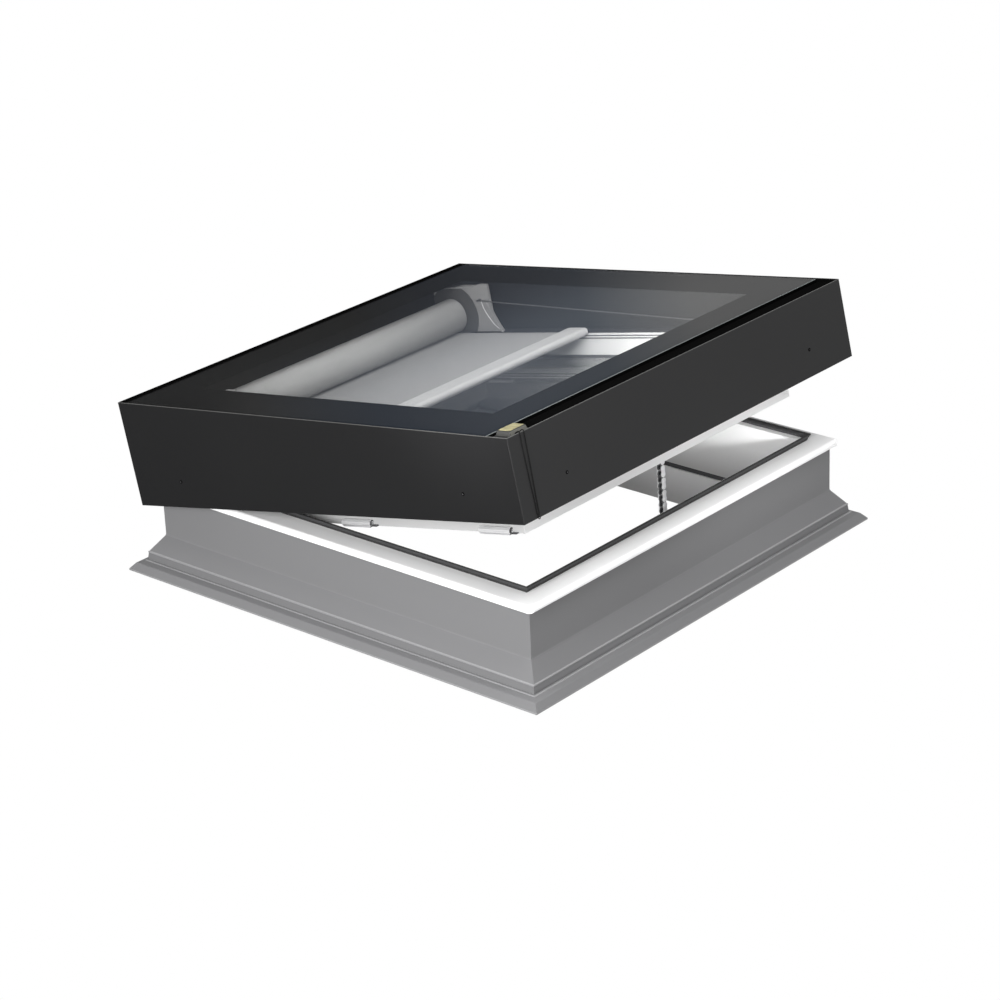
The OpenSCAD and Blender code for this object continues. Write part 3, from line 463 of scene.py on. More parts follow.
# First the finishes of the CAD's material slots, then those that only pieces of this scene wear
finishes = {
    "white_pvc": finish("glossWhitePvc", 0.86, 0.3, cloud=0.02, bump=0.01),
    "grey_pvc": finish("greyKerbPvc", (0.188, 0.188, 0.192), 0.55, cloud=0.04, grain=700, bump=0.05,
                       Specular_IOR_Level=0.3),
    "insulation": finish("wallFoam", (0.8, 0.79, 0.73), 0.9, cloud=0.1, grain=300, bump=0.3),
    # The grey lining darkens towards its bottom: painted shade
    "lining_grey": finish("greyLining", (0.66, 0.66, 0.665), 0.4, cloud=0.03, paintedShade=(-0.015, 0.037, 0.64)),
    "rubber": finish("blackRubber", (0.05, 0.05, 0.052), 0.65, cloud=0.1, grain=1200, bump=0.08,
                     Specular_IOR_Level=0.35),
    "black_aluminium": finish("blackPowderCoat", (0.0085, 0.0085, 0.009), 0.4, cloud=0.1, grain=1500,
                              bump=0.05, roughAmount=0.05),
    "black_plastic": finish("blackPlastic", (0.007, 0.0076, 0.0092), 0.5, cloud=0.08, grain=1800, bump=0.05,
                            Specular_IOR_Level=0.12),
    "printed_border": finish("blackGlassPrint", (0.009, 0.0092, 0.0095), 0.6, cloud=0.05, bump=0.0,
                             Specular_IOR_Level=0.0),
    "zinc_steel": finish("zincSteel", (0.66, 0.67, 0.69), 0.3, cloud=0.14, cloudScale=30, bump=0.03,
                         streaks=(60, 900, 900), Metallic=1.0),
    "dark_steel": finish("darkSteel", (0.2, 0.2, 0.21), 0.38, cloud=0.12, cloudScale=30, bump=0.03,
                         streaks=(60, 900, 900), Metallic=1.0),
    "drive_grey": finish("anodisedCasing", (0.62, 0.62, 0.64), 0.36, cloud=0.04, bump=0.02,
                         streaks=(30, 1200, 1200), Metallic=0.8),
    "clear_glass": glassFinish("clearFloatGlass", (0.975, 0.975, 0.97), (0.985, 0.983, 0.98)),
    "solar_cell": cellFinish("cellFilm"),
    "bracket_grey": finish("bracketGrey", (0.36, 0.36, 0.36), 0.4, cloud=0.05, grain=1200, bump=0.03),
    "disc_grey": finish("discGrey", (0.075, 0.075, 0.075), 0.5, cloud=0.05, grain=1200, bump=0.03),
    "hem_grey": finish("hemGrey", (0.79, 0.79, 0.79), 0.4, cloud=0.04, streaks=(15, 1500, 1500), bump=0.02),
    # The cloth darkens towards the roll: painted shadow of the roll
    "blind_cloth": clothFinish("blindCloth", (0.5, 0.5, 0.497), (0.28, 0.28, 0.28), 0.6, (
        "Y", 130, 370, [(0, 1), (0.29, 0.93), (0.46, 0.87), (0.62, 0.82), (0.81, 0.7), (1, 0.63)])),
    # Lighter grey for the kerb's beads and edges: painted highlight
    "kerbEdge": finish("kerbEdge", (0.265, 0.265, 0.27), 0.35, cloud=0.03),
    "clipSatin": finish("clipSatin", (0.87, 0.87, 0.88), 0.32, cloud=0.06, cloudScale=40, bump=0.01,
                        roughAmount=0.03, Metallic=0.5),
    # Near-black on the clips' end faces: painted shade in their hollow ends
    "clipEnd": finish("clipEnd", (0.1, 0.1, 0.1), 0.45, Metallic=0.3),
    # Darker grey for the kerb's flare, foot and lip band: painted shade
    "footGrey": finish("kerbFootPvc", (0.168, 0.168, 0.172), 0.55, cloud=0.04, grain=700, bump=0.05,
                       Specular_IOR_Level=0.3),
    # Near-white for the rib on the bracket's gusset: painted highlight
    "gussetEdge": finish("gussetEdge", 0.9, 0.3),
    "chainSteel": finish("chainSteel", (0.85, 0.85, 0.86), 0.3, cloud=0.1, cloudScale=80, Metallic=0.4),
    "linkShade": finish("linkShade", (0.16, 0.16, 0.165), 0.35, cloud=0.1, cloudScale=80, Metallic=0.5),
    # The white frame lining darkens towards its bottom: painted shade
    "liningWhite": finish("liningWhite", 0.95, 0.35, cloud=0.03, cloudScale=12, paintedShade=(0.06, 0.13, 0.47)),
    "rimWhite": finish("rimWhite", 0.96, 0.35, cloud=0.03, cloudScale=14, bump=0.02),
    "sashShade": finish("sashShade", 0.5, 0.4, cloud=0.02, bump=0.01),
    # Near-black for the gasket's creases and grooves: painted shade
    "rubberEdge": finish("rubberEdge", (0.012, 0.012, 0.012), 0.6),
    # Near-black: on the chain's rollers it is painted shade in the gaps between the plates; also the sensor's
    # base, rim and eased edges
    "socketDark": finish("socketDark", (0.012, 0.012, 0.013), 0.5),
    # Deep black without shine: the real black of the glass seal and screw heads, and painted shade in the
    # cover's gutter and on the glass
    "gutterBlack": finish("gutterBlack", (0.003, 0.003, 0.003), 0.7, cloud=0.1, Specular_IOR_Level=0.0),
    "cableBlack": finish("cableBlack", (0.005, 0.005, 0.005), 0.5, cloud=0.1, Specular_IOR_Level=0.15),
    "sashWhite": finish("sashWhite", 0.9, 0.35, cloud=0.02, bump=0.01),
    # Brighter white for the trim and hem caps; on the wall below the trim it is a painted glow
    "brightTrim": finish("brightTrim", 0.92, 0.25, cloud=0.02, bump=0.01),
    "spaceShade": finish("spaceShade", (0.022, 0.023, 0.027), 0.6, Specular_IOR_Level=0.05),
    "grooveShade": finish("grooveShade", (0.09, 0.092, 0.1), 0.5),
    # The roll wears a lighter copy of the cloth, painted light, that darkens towards its ends: painted shade
    "rollCloth": clothFinish("rollCloth", (0.575, 0.58, 0.58), (0.345, 0.348, 0.348), 0.6, (
        "X", -340, 340, [(0, 0.85), (0.2, 0.93), (0.33, 1), (0.62, 0.97), (0.76, 0.85), (0.93, 0.68)])),
    # Lighter, shinier black on the top and bevel of the cover's lip: painted highlight
    "lipEdge": finish("lipEdge", (0.065, 0.065, 0.063), 0.35, Specular_IOR_Level=0.6),
    # Grey on the glass's front edge bevel: painted highlight
    "glassEdge": finish("glassEdge", (0.13, 0.145, 0.145), 0.4),
    "sensorSide": finish("sensorSide", (0.03, 0.03, 0.028), 0.5, cloud=0.1),
    # A lighter copy of the sensor's side finish for its front faces: painted light
    "sensorFront": finish("sensorFront", (0.1, 0.1, 0.088), 0.45, cloud=0.1),
}
slotOf = {part["node"]: part["material_slot"] for part in frame["record"]["subparts"]}
bodyOf = {node: body for body, nodes in frame["record"]["behaviour"]["bodies"].items() for node in nodes}
for node, piece in frame["nodes"].items():
    if not piece.material_slots:
        piece.data.materials.append(None)
    for place in piece.material_slots:
        place.material = finishes[slotOf[node]]
print("finishes are mixed")


# Shapes: helpers that make, place and dress a piece

def metres(*values):
    return tuple(value / 1000 for value in values)


def toMetres(bm):
    bmesh.ops.scale(bm, vec=(0.001, 0.001, 0.001), verts=bm.verts)
    return bm


# A closed outline in mm whose corners are eased by a quadratic arc; radius is one number or one per corner
def rounded(points, radius, steps=3):
    count = len(points)
    made = []
    for index, (x, y) in enumerate(points):
        r = radius[index] if isinstance(radius, (list, tuple)) else radius
        before, after = Vector(points[index - 1]), Vector(points[(index + 1) % count])
        here = Vector((x, y))
        toBefore, toAfter = before - here, after - here
        reach = min(r, 0.42 * toBefore.length, 0.42 * toAfter.length)
        if reach < 0.02:
            made.append((x, y))
            continue
        start, end = here + toBefore.normalized() * reach, here + toAfter.normalized() * reach
        for step in range(steps + 1):
            t = step / steps
            made.append(tuple((1 - t) ** 2 * start + 2 * t * (1 - t) * here + t * t * end))
    return made


# A smooth-shaded object of a bmesh, with sharp edges from the angle on
def meshObject(name, bm, corner):
    mesh = bpy.data.meshes.new(name)
    bm.to_mesh(mesh)
    bm.free()
    mesh.polygons.foreach_set("use_smooth", [True] * len(mesh.polygons))
    mesh.set_sharp_from_angle(angle=math.radians(corner))
    piece = bpy.data.objects.new(name, mesh)
    scene.collection.objects.link(piece)
    return piece


# Makes a piece that stands for a CAD node and rides with it, in the finishes named or in the node's own
def dress(name, bm, node, *looks, corner=32, weighted=True):
    bmesh.ops.recalc_face_normals(bm, faces=bm.faces)
    piece = meshObject(name, bm, corner)
    for look in looks or (slotOf[node],):
        piece.data.materials.append(finishes[look])
    if weighted:
        even = piece.modifiers.new("evenNormals", "WEIGHTED_NORMAL")
        even.keep_sharp = True
    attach(piece, bodyOf[node])
    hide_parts(node)
    return piece


def easeEdges(bm, edges, width, segments=2, material=-1):
    bmesh.ops.bevel(bm, geom=edges, offset=width, offset_type="OFFSET", affect="EDGES", segments=segments,
                    profile=0.5, material=material, clamp_overlap=False)


# A CAD node's own shape with its edges eased; width is in mm
def softCopy(node, width):
    bm = bmesh.new()
    bm.from_mesh(frame["nodes"][node].data)
    bmesh.ops.remove_doubles(bm, verts=bm.verts, dist=1e-5)
    bmesh.ops.dissolve_limit(bm, angle_limit=math.radians(1), verts=bm.verts, edges=bm.edges)
    sharp = [edge for edge in bm.edges
             if len(edge.link_faces) == 2 and edge.calc_face_angle() > math.radians(32)]
    if width:
        easeEdges(bm, sharp, width / 1000)
    return bm


# Adds one bmesh to another
def addShape(bm, part):
    mesh = bpy.data.meshes.new("oneShape")
    part.to_mesh(mesh)
    part.free()
    bm.from_mesh(mesh)
    bpy.data.meshes.remove(mesh)


# Spins a line of points, open or closed, once round an axis
def spinLine(bm, points, closed, centre, axis, steps):
    verts = [bm.verts.new(point) for point in points]
    edges = [bm.edges.new((verts[i - 1], verts[i])) for i in range(0 if closed else 1, len(verts))]
    bmesh.ops.spin(bm, geom=verts + edges, cent=centre, axis=axis, dvec=(0, 0, 0), angle=2 * math.pi,
                   steps=steps, use_merge=True, use_duplicate=False)


# A mitred square ring from a closed outline of (distance from the middle, height) in mm
def ringMesh(outline, edgeWidth=0.8):
    bm = bmesh.new()
    spinLine(bm, [metres(-d, -d, z) for d, z in outline], True, (0, 0, 0), (0, 0, 1), 4)
    bmesh.ops.recalc_face_normals(bm, faces=bm.faces)
    if edgeWidth:
        mitres = [edge for edge in bm.edges if len(edge.link_faces) == 2
                  and all(abs(abs(vert.co.x) - abs(vert.co.y)) < 1e-5 for vert in edge.verts)
                  and edge.calc_face_angle_signed() > math.radians(60)]
        easeEdges(bm, mitres, edgeWidth / 1000)
    return bm


def moved(bm, matrix):
    bmesh.ops.transform(bm, matrix=matrix, verts=bm.verts)
    return bm


# A smooth curve through all the points
def splinePath(points, steps=6):
    made = []
    for index in range(len(points) - 1):
        p0, p1 = Vector(points[max(index - 1, 0)]), Vector(points[index])
        p2, p3 = Vector(points[index + 1]), Vector(points[min(index + 2, len(points) - 1)])
        for step in range(steps):
            t = step / steps
            made.append(0.5 * (2 * p1 + (p2 - p0) * t + (2 * p0 - 5 * p1 + 4 * p2 - p3) * t * t
                               + (3 * p1 - p0 - 3 * p2 + p3) * t ** 3))
    return made + [Vector(points[-1])]


# A closed tube along the points, which don't run along X
def addTube(bm, points, radius, sides):
    rings = []
    for index, point in enumerate(points):
        along = (points[min(index + 1, len(points) - 1)] - points[max(index - 1, 0)]).normalized()
        first = along.cross(Vector((1, 0, 0))).normalized()
        second = along.cross(first)
        rings.append([bm.verts.new(point + radius * (math.cos(2 * math.pi * k / sides) * first
                                                     + math.sin(2 * math.pi * k / sides) * second))
                      for k in range(sides)])
    for one, two in zip(rings, rings[1:]):
        for k in range(sides):
            bm.faces.new((one[k], two[k], two[(k + 1) % sides], one[(k + 1) % sides]))
    bm.faces.new(list(reversed(rings[0])))
    bm.faces.new(rings[-1])


# Plain pieces: the CAD shape with eased edges (mm)
softWidths = {
    "kerb_lining": 0.8, "frame_lining": 0.3, "lining_seal": 0.8, "rim": 0.8,
    "sash_frame": 0.8, "spacer_frame": 0.15, "cover_carrier": 0.4, "cover_skirt": 1.0,
    "outer_glass": 1.0, "upper_pane": 0.5, "lower_pane": 0.5, "pane_spacer": 0.3,
    "hinge_base_left": 0.7, "hinge_base_right": 0.7, "hinge_leaf_left": 0.5, "hinge_leaf_right": 0.5,
    "hinge_pin_left": 0.3, "hinge_pin_right": 0.3,
    "drive_casing": 0.8, "drive_end_cap_left": 0.6, "drive_end_cap_right": 0.6,
    "chain_guide": 0.3, "chain_magazine": 0.3, "chain_bracket": 0.4, "chain_pin": 0.3,
    "chain_end_block": 0.4, "chain_outer_plates": 0.25, "chain_inner_plates": 0.25, "chain_rollers": 0.3,
    "chain_pins": 0.25, "end_bracket_left": 0.6, "end_bracket_right": 0.6, "end_disc_left": 0.5,
    "end_disc_right": 0.5, "wire_anchor_left": 0.8, "wire_anchor_right": 0.8,
    "retaining_clips": 0.15, "clip_tongues": 0.4,
    "hem_caps": 0.8, "roller_tube": 0.4, "drive_motor": 0.5, "blind_motor": 0.4,
    "kerb_insulation": 0.8, "edge_seal": 0.3,
}
# Pieces with finishes other than their slot's
otherFinish = {
    "retaining_clips": ["clipSatin"], "chain_outer_plates": ["chainSteel"],
    # the chain's rollers in near-black: painted shade in the gaps between the plates
    "chain_inner_plates": ["linkShade"], "chain_rollers": ["socketDark"], "chain_end_block": ["chainSteel"],
    "chain_pins": ["chainSteel"], "rim": ["rimWhite"], "sash_frame": ["sashWhite"],
    "hem_caps": ["brightTrim"], "frame_lining": ["liningWhite"],
    "end_bracket_left": ["bracket_grey", "gussetEdge"], "end_bracket_right": ["bracket_grey", "gussetEdge"],
}


def camelName(node):
    head, *rest = node.split("_")
    return head + "".join(word.capitalize() for word in rest)


# Gives faces another finish where a test on the middle and normal, in metres in the space's own frame, holds
def paintFaces(piece, look, test, space=slopeFrame):
    index = len(piece.data.materials)
    piece.data.materials.append(finishes[look])
    back = space.inverted()
    turn = back.to_3x3()
    for face in piece.data.polygons:
        if test(back @ face.center, turn @ face.normal):
            face.material_index = index


# Zones on the cover's slope, in metres
zone = {"gutterHalf": 0.4798, "gutterRun": (0.001, 0.963), "gutterDepth": (-0.0086, -0.0008),
        "backLip": 0.955, "backLipZ": -0.009, "lipLeft": -0.478, "lipFront": 0.004, "lipZ": -0.0012,
        "glassFront": 0.052, "glassBack": 0.944, "sashLeft": -0.38}


def inGutter(middle, facing):
    low, high = zone["gutterDepth"]
    front, back = zone["gutterRun"]
    return abs(middle.x) < zone["gutterHalf"] and front < middle.y < back and low < middle.z < high


def onBackLip(middle, facing):
    return middle.z > zone["backLipZ"] and middle.y > zone["backLip"]


def onLip(middle, facing):
    outside = middle.x < zone["lipLeft"] or middle.y < zone["lipFront"]
    return outside and middle.z > zone["lipZ"] and facing.z > 0.25


def onGlassEdge(middle, facing):
    return middle.y < zone["glassFront"] and 0.3 < facing.z < 0.95 and facing.y < -0.2


# The finishes that parts of a plain piece get, in this order
paints = {
    # The cover's gutter and back lip get painted shade, the top of its lip a painted highlight
    "cover_skirt": [("gutterBlack", inGutter), ("lipEdge", onLip), ("gutterBlack", onBackLip)],
    # the clips' end faces: painted shade in their hollow ends
    "retaining_clips": [("clipEnd", lambda middle, facing: facing.y < -0.8)],
    "sash_frame": [("sashShade", lambda middle, facing: facing.x < -0.7 and middle.x < zone["sashLeft"])],
    # The glass's front end face and back margin get painted shade of the gutter, its front bevel a painted
    # highlight
    "outer_glass": [("gutterBlack", lambda middle, facing: facing.y < -0.9), ("glassEdge", onGlassEdge),
                    ("gutterBlack", lambda middle, facing: middle.y > zone["glassBack"])],
}
# A painted highlight along the bracket's gusset: a fine curved rib beside the disc, in near-white (mm, sash
# frame)
gusset = {"x": 352.8, "radius": 0.9, "sides": 8,
          "line": [(317.6, 149.3), (313.8, 133.7), (306.2, 118.9), (293.2, 100.9), (273.9, 86.1)]}
# How far the cloth, hem bar and caps hang below the CAD's, in mm, and how deep the print lies in the glass
hemDrop = 0.7
printDepth = 0.0001


def addGusset(bm, side):
    rib = bmesh.new()
    line = splinePath([(side * gusset["x"], y, z) for y, z in gusset["line"]])
    addTube(rib, line, gusset["radius"], gusset["sides"])
    for face in rib.faces:
        face.material_index = 1
    addShape(bm, moved(toMetres(rib), sashFrame))


for node, width in softWidths.items():
    shape = softCopy(node, width)
    if node == "hem_caps":
        drop = sashFrame.to_3x3() @ Vector(metres(0, 0, -hemDrop))
        bmesh.ops.translate(shape, verts=shape.verts, vec=drop)
    if node.startswith("end_bracket"):
        addGusset(shape, 1 if node.endswith("right") else -1)
    if node == "outer_glass":
        # an edge where the painted shade on the glass's back margin begins
        bmesh.ops.bisect_plane(shape, geom=[*shape.verts, *shape.edges, *shape.faces],
                               plane_co=slopeFrame @ Vector((0, zone["glassBack"], 0)),
                               plane_no=slopeFrame.col[1].to_3d())
    piece = dress(camelName(node) + "Eased", shape, node, *otherFinish.get(node, ()))
    for look, test in paints.get(node, ()):
        paintFaces(piece, look, test)
frame["nodes"]["glass_seal"].material_slots[0].material = finishes["gutterBlack"]
# The print lies a little inside the glass, so that the two faces don't coincide
printed = softCopy("glass_border", 0)
bmesh.ops.translate(printed, verts=printed.verts, vec=slopeFrame.col[2].to_3d() * printDepth)
dress("glassBorderPrint", printed, "glass_border", weighted=False)
print("plain pieces are eased", len(softWidths))


# Kerb shell: soft bends in the foot, a raised bead on the crease and on the groove's lower edge (mm)

kerb = {
    "section": [
        ((420, 0), 0), ((500, 0), 0.5), ((500, 3), 0.8), ((489, 15), 2.5), ((477.6, 18.2), 0.3),
        ((477.2, 19.2), 0.3), ((475.8, 19.5), 0.3), ((472.5, 19.6), 0.2), ((472.5, 22.5), 0.2),
        ((473.5, 22.5), 0.5), ((472.1, 33.4), 0.4), ((472.9, 34.3), 0.4), ((472.6, 35.9), 0.5),
        ((470.8, 36.9), 0.4), ((447, 67.5), 3), ((447, 156), 0.5), ((444, 156), 0), ((444, 66.5), 0),
        ((466.5, 35.5), 0), ((468.5, 15), 0), ((486, 10), 0), ((493, 4), 0), ((420, 4), 0)],
    # zones with a painted highlight: the crease bead, the groove's lower edge and the foot's edge
    "brightZones": [((470.4, 473.4), (33.3, 37.2)), ((475.4, 478), (18.0, 19.9)),
                    ((499.0, 500.1), (0.2, 3.2))],
    # zones of painted shade on the flare, foot and lip band
    "footZones": [((447.8, 470.6), (37.3, 67)), ((477.4, 499.2), (2.5, 18.2)), ((472, 475), (22, 33))],
}


# A zone is two distances from the middle and two heights, in mm
def paintZones(bm, zones, index):
    for face in bm.faces:
        middle = face.calc_center_median()
        away, height = max(abs(middle.x), abs(middle.y)) * 1000, middle.z * 1000
        if any(d[0] <= away <= d[1] and z[0] <= height <= z[1] for d, z in zones):
            face.material_index = index


def buildKerbShell():
    points = [point for point, _ in kerb["section"]]
    bm = ringMesh(rounded(points, [radius for _, radius in kerb["section"]]))
    # painted shade on the flare, foot and lip band
    paintZones(bm, kerb["footZones"], 2)
    # painted highlights on the beads and the foot's lower edge
    paintZones(bm, kerb["brightZones"], 1)
    dress("kerbShellRing", bm, "kerb_shell", "grey_pvc", "kerbEdge", "footGrey", corner=38)


buildKerbShell()
print("kerb shell stands")


# Rubber upstand with two fine ribs on its outer flank and a crease along its top (mm)

upstand = {
    "root": 411.0,
    "section": [(0, 172), (4, 172), (6.3, 176.2), (5.6, 177.2), (6.8, 178.0), (8.3, 180.2), (7.7, 181.0),
                (9.0, 181.8), (10.5, 184), (9.5, 186), (6.9, 185.6), (6.0, 184.2), (5.0, 184.5), (1, 181.5),
                (1, 178), (0, 177)],
    # zones in the creases and grooves that get painted shade
    "darkZones": [((414, 418.5), (172, 174.5)), ((416.6, 418.6), (176.1, 178.2)),
                  ((415.5, 417.5), (183.4, 185.4)), ((418.0, 421.6), (184.4, 186.1))],
}
ribbed = ringMesh(rounded([(upstand["root"] + d, z) for d, z in upstand["section"]], 0.45, steps=2), 0)
paintZones(ribbed, upstand["darkZones"], 1)
dress("frameGasketRibbed", ribbed, "frame_gasket", "rubber", "rubberEdge", corner=50)


# Glass seal strip round the insulating glass (mm, sash frame)

glassGasket = [(349.5, 9), (352, 9), (352, 38), (345.5, 36), (345.5, 35), (349.5, 35)]
strip = ringMesh(rounded(glassGasket, 0.5, steps=2), 0)
dress("glassGasketStrip", moved(strip, sashFrame), "glass_gasket", corner=50)
print("seals are in")


# White trim over the glass edge with two shaded grooves, and the white wall below it (mm, sash frame; the
# last line in metres)

trim = {
    "section": [(352, 66), (372, 66), (372, 86), (355.8, 86), (355.8, 80.6), (353, 80.6), (352, 79.8),
                (352, 77.8), (355, 77.4), (355, 75.6), (352, 75.2), (352, 72.6), (355, 72.2), (355, 70.4),
                (352, 70)],
    "grooveZones": [((352.2, 360), (75.3, 77.7)), ((352.2, 360), (70.1, 72.5))],
    "shadeZones": [((350, 373), (81, 87))],
    "wall": 0.352, "wallGap": 0.0015, "wallTop": 0.07, "shadeFrom": 0.085,
}


def onInnerWall(middle, facing):
    away = max(abs(middle.x), abs(middle.y))
    onWall = abs(away - trim["wall"]) < trim["wallGap"]
    return onWall and middle.z < trim["wallTop"] and middle.dot(facing) < 0


def buildTrim():
    bm = ringMesh(rounded(trim["section"], 0.3, steps=2))
    paintZones(bm, trim["grooveZones"], 1)
    paintZones(bm, trim["shadeZones"], 2)
    dress("innerTrimGrooved", moved(bm, sashFrame), "inner_trim", "brightTrim", "grooveShade", "spaceShade",
          corner=40)
    wall = bpy.data.objects["sashFrameEased"]
    # The wall below the trim gets the brighter white: a painted glow
    paintFaces(wall, "brightTrim", onInnerWall, sashFrame)
    paintFaces(wall, "spaceShade", lambda middle, facing: middle.z > trim["shadeFrom"], sashFrame)


buildTrim()


# Light sensor: a wedge-sided housing with the cell film let into its top (mm on the cover's slope)

sensor = {"x": -436.6, "y": 28.2, "recess": -8.0, "base": (-465, -407, 9.6, 49.3), "baseTop": 1.6,
          "top": 11.0, "lean": (3.5, 2.5), "cell": (36.3, 23.8), "edge": 2.0, "cellTop": 11.7,
          "sink": 0.2, "cellSink": 0.4, "ease": 0.9, "cellEase": 0.2}


# A block between two heights; its ends are (left, right, front, back)
def addPrism(bm, low, high, z0, z1):
    rings = []
    for (x0, x1, y0, y1), z in ((low, z0), (high, z1)):
        rings.append([bm.verts.new(point) for point in ((x0, y0, z), (x1, y0, z), (x1, y1, z), (x0, y1, z))])
    for one, two in zip(rings, rings[1:]):
        for k in range(4):
            bm.faces.new((one[k], one[(k + 1) % 4], two[(k + 1) % 4], two[k]))
    bm.faces.new(list(reversed(rings[0])))
    bm.faces.new(rings[-1])


def buildSensor():
    edge, recess = sensor["edge"], sensor["recess"]
    leanX, leanY = sensor["lean"]
    halfX, halfY = (value / 2 + edge for value in sensor["cell"])
    top = (sensor["x"] - halfX, sensor["x"] + halfX, sensor["y"] - halfY, sensor["y"] + halfY)
    inner = (top[0] + edge, top[1] - edge, top[2] + edge, top[3] - edge)
    low = (top[0] - leanX, top[1] + leanX, top[2] - leanY, top[3] + leanY)
    bm = bmesh.new()
    addPrism(bm, sensor["base"], sensor["base"], recess, recess + sensor["baseTop"])
    addPrism(bm, low, top, recess + sensor["baseTop"] - sensor["sink"], recess + sensor["top"])
    bmesh.ops.recalc_face_normals(bm, faces=bm.faces)
    # level and upright faces near-black, front-facing lean faces in the lighter copy (painted light), the
    # rest in the side finish
    for face in bm.faces:
        upright = abs(face.normal.z) < 0.05 or abs(face.normal.z) > 0.98
        face.material_index = 2 if upright else 1 if face.normal.y < -0.3 else 0
    easeEdges(bm, list(bm.edges), sensor["ease"], material=2)
    dress("sensorHousingWedge", moved(toMetres(bm), slopeFrame), "sensor_housing", "sensorSide",
          "sensorFront", "socketDark", corner=50)
    bm = bmesh.new()
    addPrism(bm, inner, inner, recess + sensor["top"] - sensor["cellSink"], recess + sensor["cellTop"])
    easeEdges(bm, list(bm.edges), sensor["cellEase"], segments=1)
    dress("sensorCellFilm", moved(toMetres(bm), slopeFrame), "solar_cell", corner=50)


buildSensor()
print("trim and sensor stand")


# Blind: cloth, roll and hem bar (mm, sash frame); the cloth leaves the roll over the angle "leave"

blind = {"rollY": 396.0, "rollZ": 122.0, "rollR": 35.0, "coreR": 20.2, "rollHalf": 347.5, "wraps": 16,
         "wrapStep": 0.5, "bend": 0.4, "ends": 0.3, "clothHalf": 340.0, "clothZ": 86.65, "clothT": 0.6,
         "leave": 40, "leaveRows": 8, "rows": 48, "columns": 24,
         "hemY": 70.0, "hemW": 54.0, "hemH": 16.0, "barHalf": 344.0, "nose": 14,
         "slots": [(6.2, 0), (6.5, 0.9), (7.7, 0.9), (8.0, 0), (15.4, 0), (15.7, 0.6), (16.3, 0.6),
                   (16.6, 0)]}


# Writes UV in mm from a function of the vertex and the face's own middle
def uvByPlace(bm, place):
    layer = bm.loops.layers.uv.new("clothUv")
    for face in bm.faces:
        middle = face.calc_center_median()
        for loop in face.loops:
            loop[layer].uv = place(loop.vert.co, middle)


def buildCloth():
    bm = bmesh.new()
    radius = blind["rollZ"] - blind["clothZ"]
    path = []
    for step in range(blind["leaveRows"] + 1):
        turn = math.radians(blind["leave"] * (1 - step / blind["leaveRows"]))
        path.append((blind["rollY"] + radius * math.sin(turn), blind["rollZ"] - radius * math.cos(turn)))
    end = blind["hemY"] + blind["hemW"] / 2 - 1
    rows, columns = blind["rows"], blind["columns"]
    for step in range(1, rows + 1):
        path.append((blind["rollY"] + (end - blind["rollY"]) * step / rows, blind["clothZ"]))
    across = [(-1 + 2 * c / columns) * blind["clothHalf"] for c in range(columns + 1)]
    grid = [[bm.verts.new(metres(x, y, z)) for x in across] for y, z in path]
    for one, two in zip(grid, grid[1:]):
        for c in range(columns):
            bm.faces.new((one[c], one[c + 1], two[c + 1], two[c]))
    length = sum(math.dist(a, b) for a, b in zip(path, path[1:]))
    bmesh.ops.recalc_face_normals(bm, faces=bm.faces)
    uvByPlace(bm, lambda co, middle: (co.x * 1000, co.y * 1000))
    bmesh.ops.translate(bm, verts=bm.verts, vec=(0, 0, -blind["clothT"] / 2000))
    bmesh.ops.solidify(bm, geom=list(bm.faces), thickness=blind["clothT"] / 1000)
    moved(bm, sashFrame)
    bmesh.ops.recalc_face_normals(bm, faces=bm.faces)
    cloth = meshObject("blindClothSheet", bm, 45)
    cloth.data.materials.append(finishes["blind_cloth"])
    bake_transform(cloth)
    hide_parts("blind_cloth")
    return cloth, metres(2 * blind["clothHalf"], length)


# The roll, with the cloth's turns as fine steps on its ends
def buildRoll():
    bm = bmesh.new()
    half, outer, turns = blind["rollHalf"], blind["rollR"], 2 * blind["wraps"]
    rim = outer - blind["bend"]
    side = []
    for step in range(turns + 1):
        r = rim - (rim - blind["coreR"]) * step / turns
        side.append((half - (0.0 if step % 2 == 0 else blind["wrapStep"]), r))
    profile = [(-x, r) for x, r in reversed(side)] + [(-half + blind["ends"], outer)]
    profile += [(-half + 2 * half * step / 12, outer) for step in range(1, 12)]
    profile += [(half - blind["ends"], outer)] + side
    middle = Vector(metres(0, blind["rollY"], blind["rollZ"]))
    line = [metres(x, blind["rollY"], blind["rollZ"] - r) for x, r in profile]
    spinLine(bm, line, False, middle, (1, 0, 0), 72)

    def place(co, centre):
        turn = math.atan2(co.z - middle.z, co.y - middle.y)
        about = math.atan2(centre.z - middle.z, centre.y - middle.y)
        while turn - about > math.pi:
            turn -= 2 * math.pi
        while turn - about < -math.pi:
            turn += 2 * math.pi
        return co.x * 1000, turn * outer + (co - middle).length * 100

    uvByPlace(bm, place)
    return dress("clothRollWound", moved(bm, sashFrame), "cloth_roll", "rollCloth", corner=40, weighted=False)


